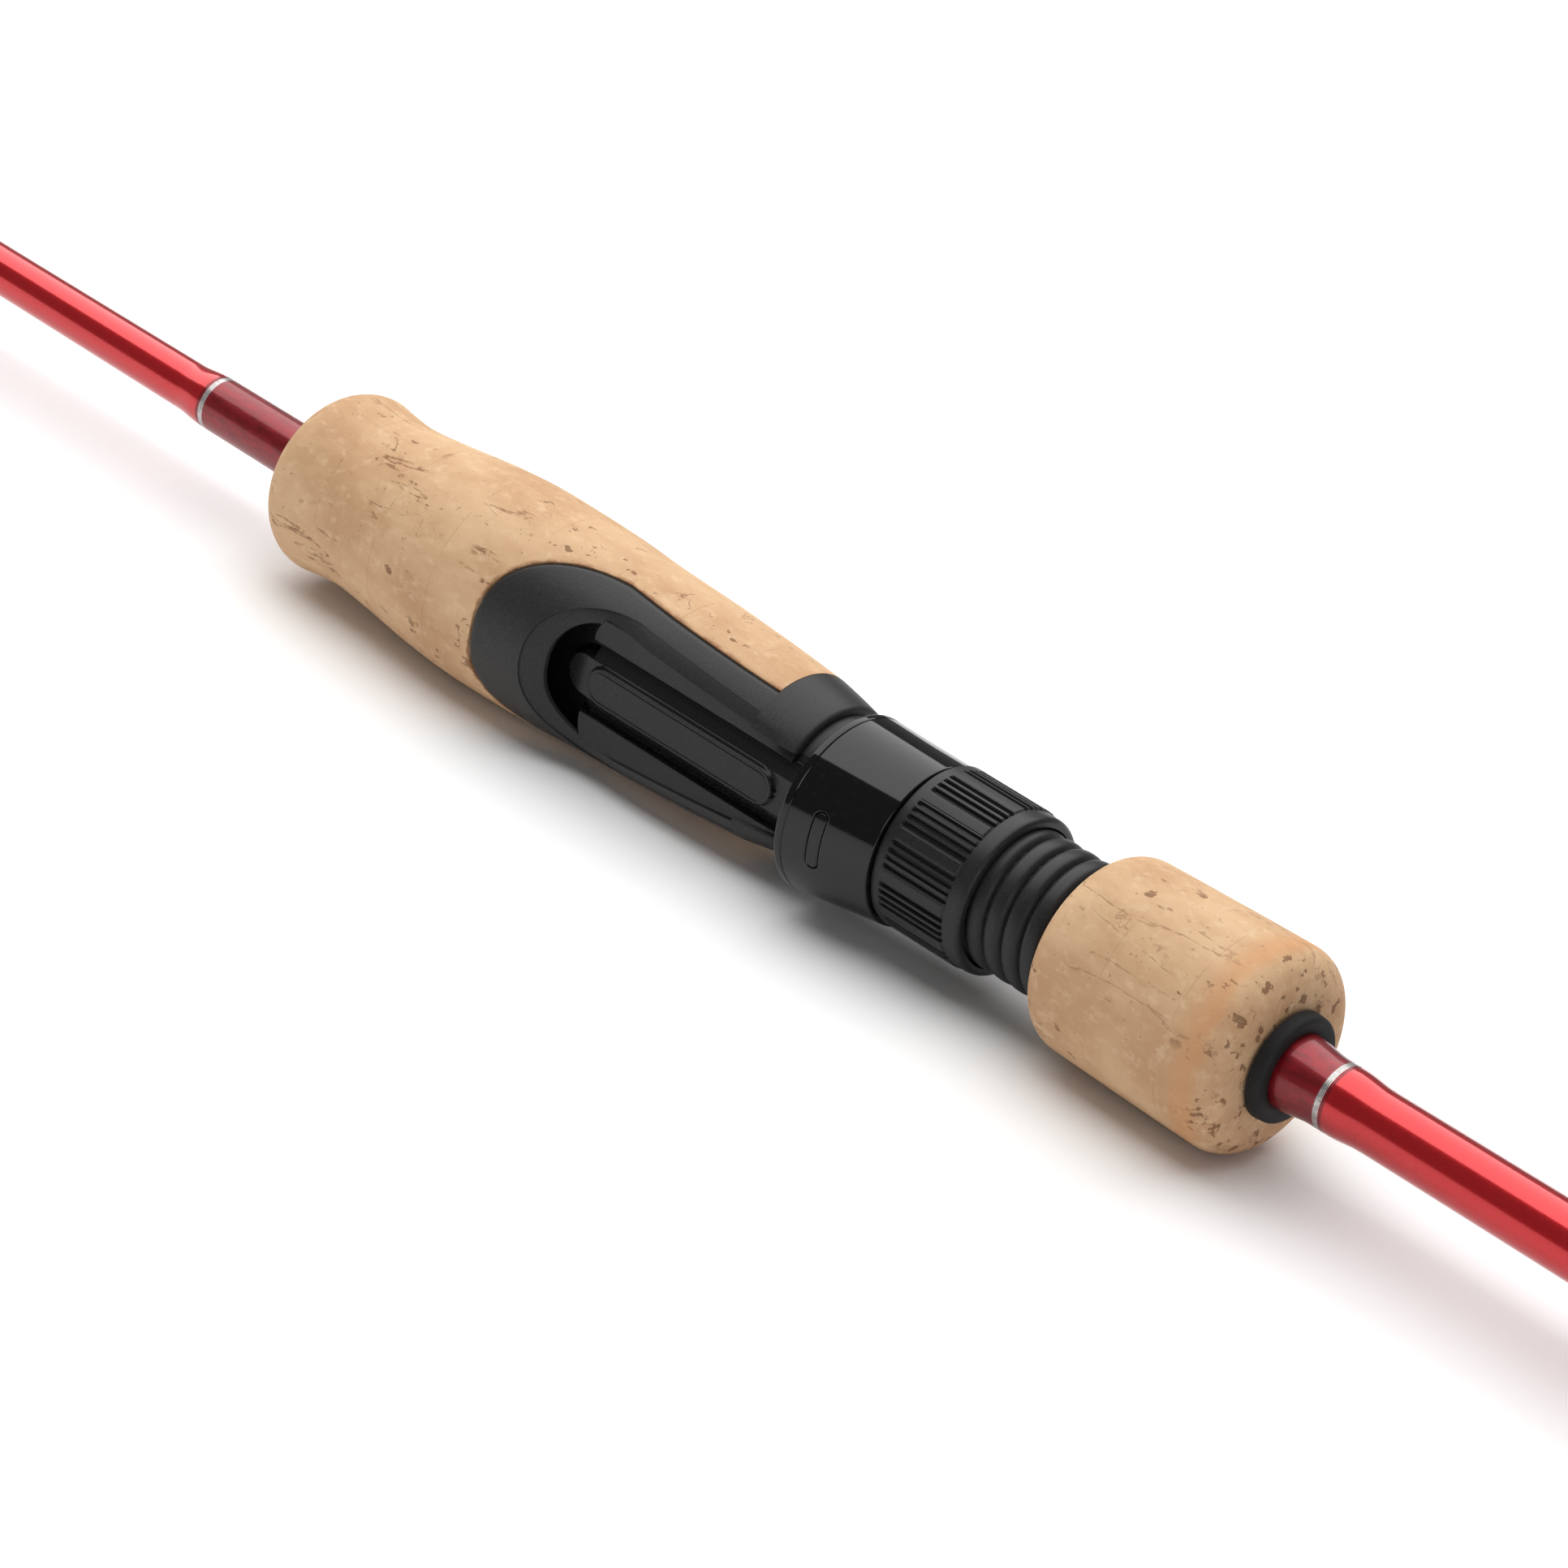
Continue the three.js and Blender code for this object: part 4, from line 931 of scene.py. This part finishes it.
def makeButtCap():
    # a cap with a rounded rim, a shallow dish in its flat end and a bead where it meets the cork
    r, dish, bead, bore = (buttCap[k] for k in ("radius", "dish", "bead", "bore"))
    dishRadius, groove = buttCap["dishRadius"], r - buttCap["beadDepth"]
    corners = [
        [dish, 0, 0], [dish, dishRadius, 0.2], [0, dishRadius + 0.6, 0.2],
        [0, buttCap["endRadius"], 1.2], [2.6, r, 1.6],
        [bead, r, 0.15], [bead + 0.2, groove, 0.1], [bead + 0.5, groove, 0.1],
        [bead + 0.7, r, 0.15],
        [buttCapEnd, r, 0.4], [buttCapEnd, bore, 0], [buttCap["floor"], bore, 0],
        [buttCap["floor"], 0, 0],
    ]
    makePiece("butt_capRubber", capped(rounded(corners)), rubber, ["butt_cap"])


guideSizes = ("at", "ring", "section", "height", "wire", "foot")
guides = [dict(zip(guideSizes, row)) for row in (
    (839, 10, 1.15, 17, 0.8, 13), (1106, 5, 0.75, 9.5, 0.6, 10), (1309, 3.7, 0.6, 7.4, 0.5, 9),
    (1474, 3.2, 0.55, 6.6, 0.5, 8), (1611, 3.2, 0.55, 6.2, 0.5, 8), (1728, 3.2, 0.55, 6.0, 0.5, 8))]
guideShape = dict(lean=12, hoop=0.6, hoopWide=1.6, gap=0.05, footThick=0.7, footHalf=1.1,
                  threadThick=0.42, spread=0.45, shoulder=0.22)


def hoopParts(centre, ring):
    # a flat band round the ring, leaning towards the tip
    inner, half = ring + guideShape["gap"], guideShape["hoopWide"] / 2
    outer = ring + 0.2 + guideShape["hoop"]
    corners = [[-half, inner, 0.15], [-half, outer, 0.25], [half, outer, 0.25], [half, inner, 0.15]]
    lean = math.radians(guideShape["lean"])
    return turned(rounded(corners), 72, lean, centre)


def ringParts(centre, ring, section):
    # a round section turned into a ring: x = s cos b, r = ring - s + s sin b
    b = turns(20)
    profile = np.stack([section * np.cos(b), ring - section + section * np.sin(b)], 1)
    return turned(profile, 96, math.radians(guideShape["lean"]), centre)


def legParts(centre, ring, footX, footY, wire):
    # a wire from each shoulder of the hoop down to the foot
    reach = ring + 0.2 + guideShape["hoop"] / 2
    angle = math.pi * guideShape["shoulder"]
    parts = []
    for side in (-1, 1):
        start = np.array([centre[0], centre[1] - reach * math.cos(angle),
                          side * reach * math.sin(angle)])
        end = np.array([footX, footY, side * (guideShape["footHalf"] - wire) * 0.8])
        middle = (start + end) / 2
        middle[2] = start[2] + (end[2] - start[2]) * 0.62
        parts += tube(bent([start, middle, end]), wire)
    return parts


def footParts(x0, x1, blankTop):
    # a flattened tongue on the blank: half width w sqrt(1 - t^3), height falling to the end
    share = np.linspace(0, 1, 26)
    x = x0 + (x1 - x0) * share
    half = guideShape["footHalf"] * np.sqrt(np.clip(1 - share ** 3, 0.0, 1))
    half = half * (0.75 + 0.25 * smooth(0, 0.3, share))
    thick = guideShape["footThick"] * (1 - 0.85 * smooth(0.5, 1, share))
    angle = turns(16)
    across = half[:, None] * np.cos(angle)[None, :]
    up = blankTop + thick[:, None] * (0.5 + 0.5 * np.sin(angle)[None, :])
    body = np.stack([np.broadcast_to(x[:, None], across.shape), up, across], axis=-1)
    first = np.broadcast_to(body[0].mean(0), (1, 16, 3))
    last = np.broadcast_to(body[-1].mean(0), (1, 16, 3))
    return [grid(np.concatenate([first, body, last]), wrapCols=True)]


def footWrapParts(x0, x1, blankTop):
    # thread over a foot: a circle round the blank, raised by cos(a)^5 over the foot, that thins
    # to nothing at both ends
    x = np.linspace(x0, x1, 40)
    share = (x - x0) / (x1 - x0)
    taper = smooth(0, 0.12, share) * (1 - smooth(0.86, 1, share))
    angle = turns(72)
    ahead = np.clip(np.cos(angle), 0, 1)
    thread = guideShape["threadThick"]
    hump = (guideShape["footThick"] + 0.25) * ahead ** 5
    over = hump[None, :] * (0.25 + 0.75 * taper[:, None])
    outer = around(x, blankTop - 0.1 + (thread * taper)[:, None] + over, angle)
    return shell(outer, around(x, blankTop * 0.85, angle), wrapCols=True)


def makeGuides():
    shape = guideShape
    for k, g in enumerate(guides, 1):
        name = f"guide_{k}"
        body = "butt_section" if k == 1 else "tip_section"
        ways = (-1, 1) if k == 1 else (-1,)  # the first guide has a foot on both sides
        base = float(blankRadius(g["at"] - g["foot"]))
        centre = (g["at"], base + g["height"], 0)
        footY = base + 0.2 + shape["footThick"] / 2
        parts = hoopParts(centre, g["ring"])
        for way in ways:
            heel = g["at"] + way * g["ring"] * shape["spread"]
            parts += footParts(heel, heel + way * g["foot"], base + 0.15)
            parts += legParts(centre, g["ring"], heel + way * g["wire"], footY, g["wire"])
            label = f"{name}_wrap" + (("_rear" if way < 0 else "_front") if k == 1 else "")
            w0, w1 = spanX(label)
            makePiece(f"{label}Thread", footWrapParts(w0, w1, base + 0.1),
                      burgundyThread, [label], body)
        makePiece(f"{name}_frameSteel", parts, guideSteel, [f"{name}_frame"], body)
        makePiece(f"{name}_ringCeramic", ringParts(centre, g["ring"], g["section"]),
                  ceramic, [f"{name}_ring"], body)


tipTop = dict(ring=3.2, section=0.55, height=4.6, wall=0.35, wire=0.45)


def makeTipTop():
    # a tube over the blank's end, a ring on two legs and its thread, then the ferrule's thread
    shape = tipTop
    x0 = spanX("tip_top_frame")[0]
    low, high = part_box("tip_top_ring")
    centre = ((low.x + high.x) / 2 / mm, shape["height"], 0)
    inner = blank["tipDiameter"] / 2 + 0.2
    end = blankEnd + 1.5
    outer = inner + shape["wall"]
    corners = [[x0, inner, 0.05], [x0, outer, 0.15], [end, outer, 0.3],
               [end, 0.05, 0], [blankEnd + 0.3, 0.05, 0], [blankEnd + 0.3, inner, 0]]
    parts = turned(rounded(corners), 40) + hoopParts(centre, shape["ring"])
    parts += legParts(centre, shape["ring"], end - 0.7, 0.2, shape["wire"])
    makePiece("tip_top_frameSteel", parts, guideSteel, ["tip_top_frame"],
              "tip_section")
    makePiece("tip_top_ringCeramic", ringParts(centre, shape["ring"], shape["section"]),
              ceramic, ["tip_top_ring"], "tip_section")
    w0, w1 = spanX("tip_top_wrap")
    swell = lambda share: 0.4 * smooth(0, 0.2, share) * (1 - 0.6 * smooth(0.8, 1, share)) + 0.02
    resinBand("tip_top_thread", w0, w1, swell, burgundyThread, ["tip_top_wrap"],
              "tip_section")
    f0, f1 = spanX("ferrule_wrap")
    raised = blank["sleeveGap"] + blank["sleeveWall"]
    thick = lambda share: 0.38 * smooth(0, 0.06, share) * (1 - smooth(0.86, 1, share))
    swell = lambda share: raised + 0.05 + thick(share)
    resinBand("ferrule_thread", f0, f1, swell, burgundyThread, ["ferrule_wrap"],
              "tip_section", bed=raised - 0.1)


makeBlanks()
makeButtCap()
makeGrips()
makeForegrip()
makeWinding("butt", 1, 0.5, True)
makeWinding("rear", -1, 0.62, True)
makeWinding("front", 1, 0.0, False)
print("blank, grips and thread made")
makeTube()
makeCollar()
makeSkin()
makeChannel()
makeHood()
makeNut()
print("reel seat made")
makeGuides()
makeTipTop()
for k in (1, 2, 3):
    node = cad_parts[f"seat_arbor_{k}"]
    for part in node.material_slots:
        part.material = arborFoam
print("guides made")


view = dict(towardsTip=0.553, roll=32.0, tilt=31.78, distance=0.889, focal=149.07, sensor=36.0,
            shift=0.019151, aimX=0.261)
studio = dict(floorSize=12.0, floor=rgb(248, 248, 248), floorCloud=rgb(244, 244, 244), world=0.19,
              key=34.0, keyPlace=(0.85, -0.45, 1.0), keySize=(2.1, 2.0),
              fill=7.1, fillPlace=(-1.9, 1.25, 0.75), fillSize=(1.25, 0.8))


def makeFloor():
    low = cadLow.z
    size = studio["floorSize"]
    mesh = bpy.data.meshes.new("floor")
    corners = [(x * size, y * size, low) for x, y in ((-1, -1), (1, -1), (1, 1), (-1, 1))]
    mesh.from_pydata(corners, [], [(0, 1, 2, 3)])
    f = Finish("paleFloor", specular=0.1)
    cloud = f.noise(3, 2)
    f.colour(f.blend(cloud, studio["floor"], studio["floorCloud"]))
    f.rough(0.8, cloud, 0.1)
    mesh.materials.append(f.material)
    floor = bpy.data.objects.new("floor", mesh)
    bpy.context.scene.collection.objects.link(floor)


def areaLight(name, where, aim, size, power):
    light = bpy.data.lights.new(name, "AREA")
    light.shape = "RECTANGLE"
    light.size, light.size_y = size
    light.energy = power
    lamp = bpy.data.objects.new(name, light)
    lamp.location = where
    lamp.rotation_mode = "QUATERNION"
    lamp.rotation_quaternion = (Vector(aim) - Vector(where)).to_track_quat("-Z", "Y")
    bpy.context.scene.collection.objects.link(lamp)


def makeStudio():
    scene = bpy.context.scene
    scene.view_settings.view_transform = "Standard"
    world = bpy.data.worlds.new("studio")
    world.use_nodes = True
    back = world.node_tree.nodes["Background"]
    back.inputs["Color"].default_value = (1, 1, 1, 1)
    back.inputs["Strength"].default_value = studio["world"]
    scene.world = world
    # a wide overhead box, a little behind the rod, and a weak one from the reel's side
    above = studio["keyPlace"]
    areaLight("key", above, (*above[:2], 0), studio["keySize"], studio["key"])
    areaLight("fill", studio["fillPlace"], (view["aimX"], 0, 0), studio["fillSize"], studio["fill"])


def makeCamera():
    # the view runs along D = x cos a - n sin a, where n is the direction that faces the camera
    # square to the rod, turned from +y to +z by the roll; the rod then lies tilted in the frame
    cosA = view["towardsTip"]
    sinA = math.sqrt(1 - cosA ** 2)
    roll, tilt = math.radians(view["roll"]), math.radians(view["tilt"])
    facing = Vector((0, math.cos(roll), math.sin(roll)))
    below = Vector((0, math.sin(roll), -math.cos(roll)))
    x = Vector((1, 0, 0))
    look = x * cosA - facing * sinA
    across = -x * sinA - facing * cosA
    right = across * math.cos(tilt) - below * math.sin(tilt)
    up = -(across * math.sin(tilt) + below * math.cos(tilt))
    camera = bpy.data.cameras.new("camera")
    camera.lens, camera.sensor_width = view["focal"], view["sensor"]
    camera.shift_y = -view["shift"]
    camera.clip_start, camera.clip_end = 0.02, 50
    holder = bpy.data.objects.new("camera", camera)
    place = Vector((view["aimX"], 0, 0)) - look * view["distance"]
    turn = Matrix((right, up, -look)).transposed()
    holder.matrix_world = Matrix.Translation(place) @ turn.to_4x4()
    bpy.context.scene.collection.objects.link(holder)
    bpy.context.scene.camera = holder


makeFloor()
makeStudio()
makeCamera()
print("studio made")
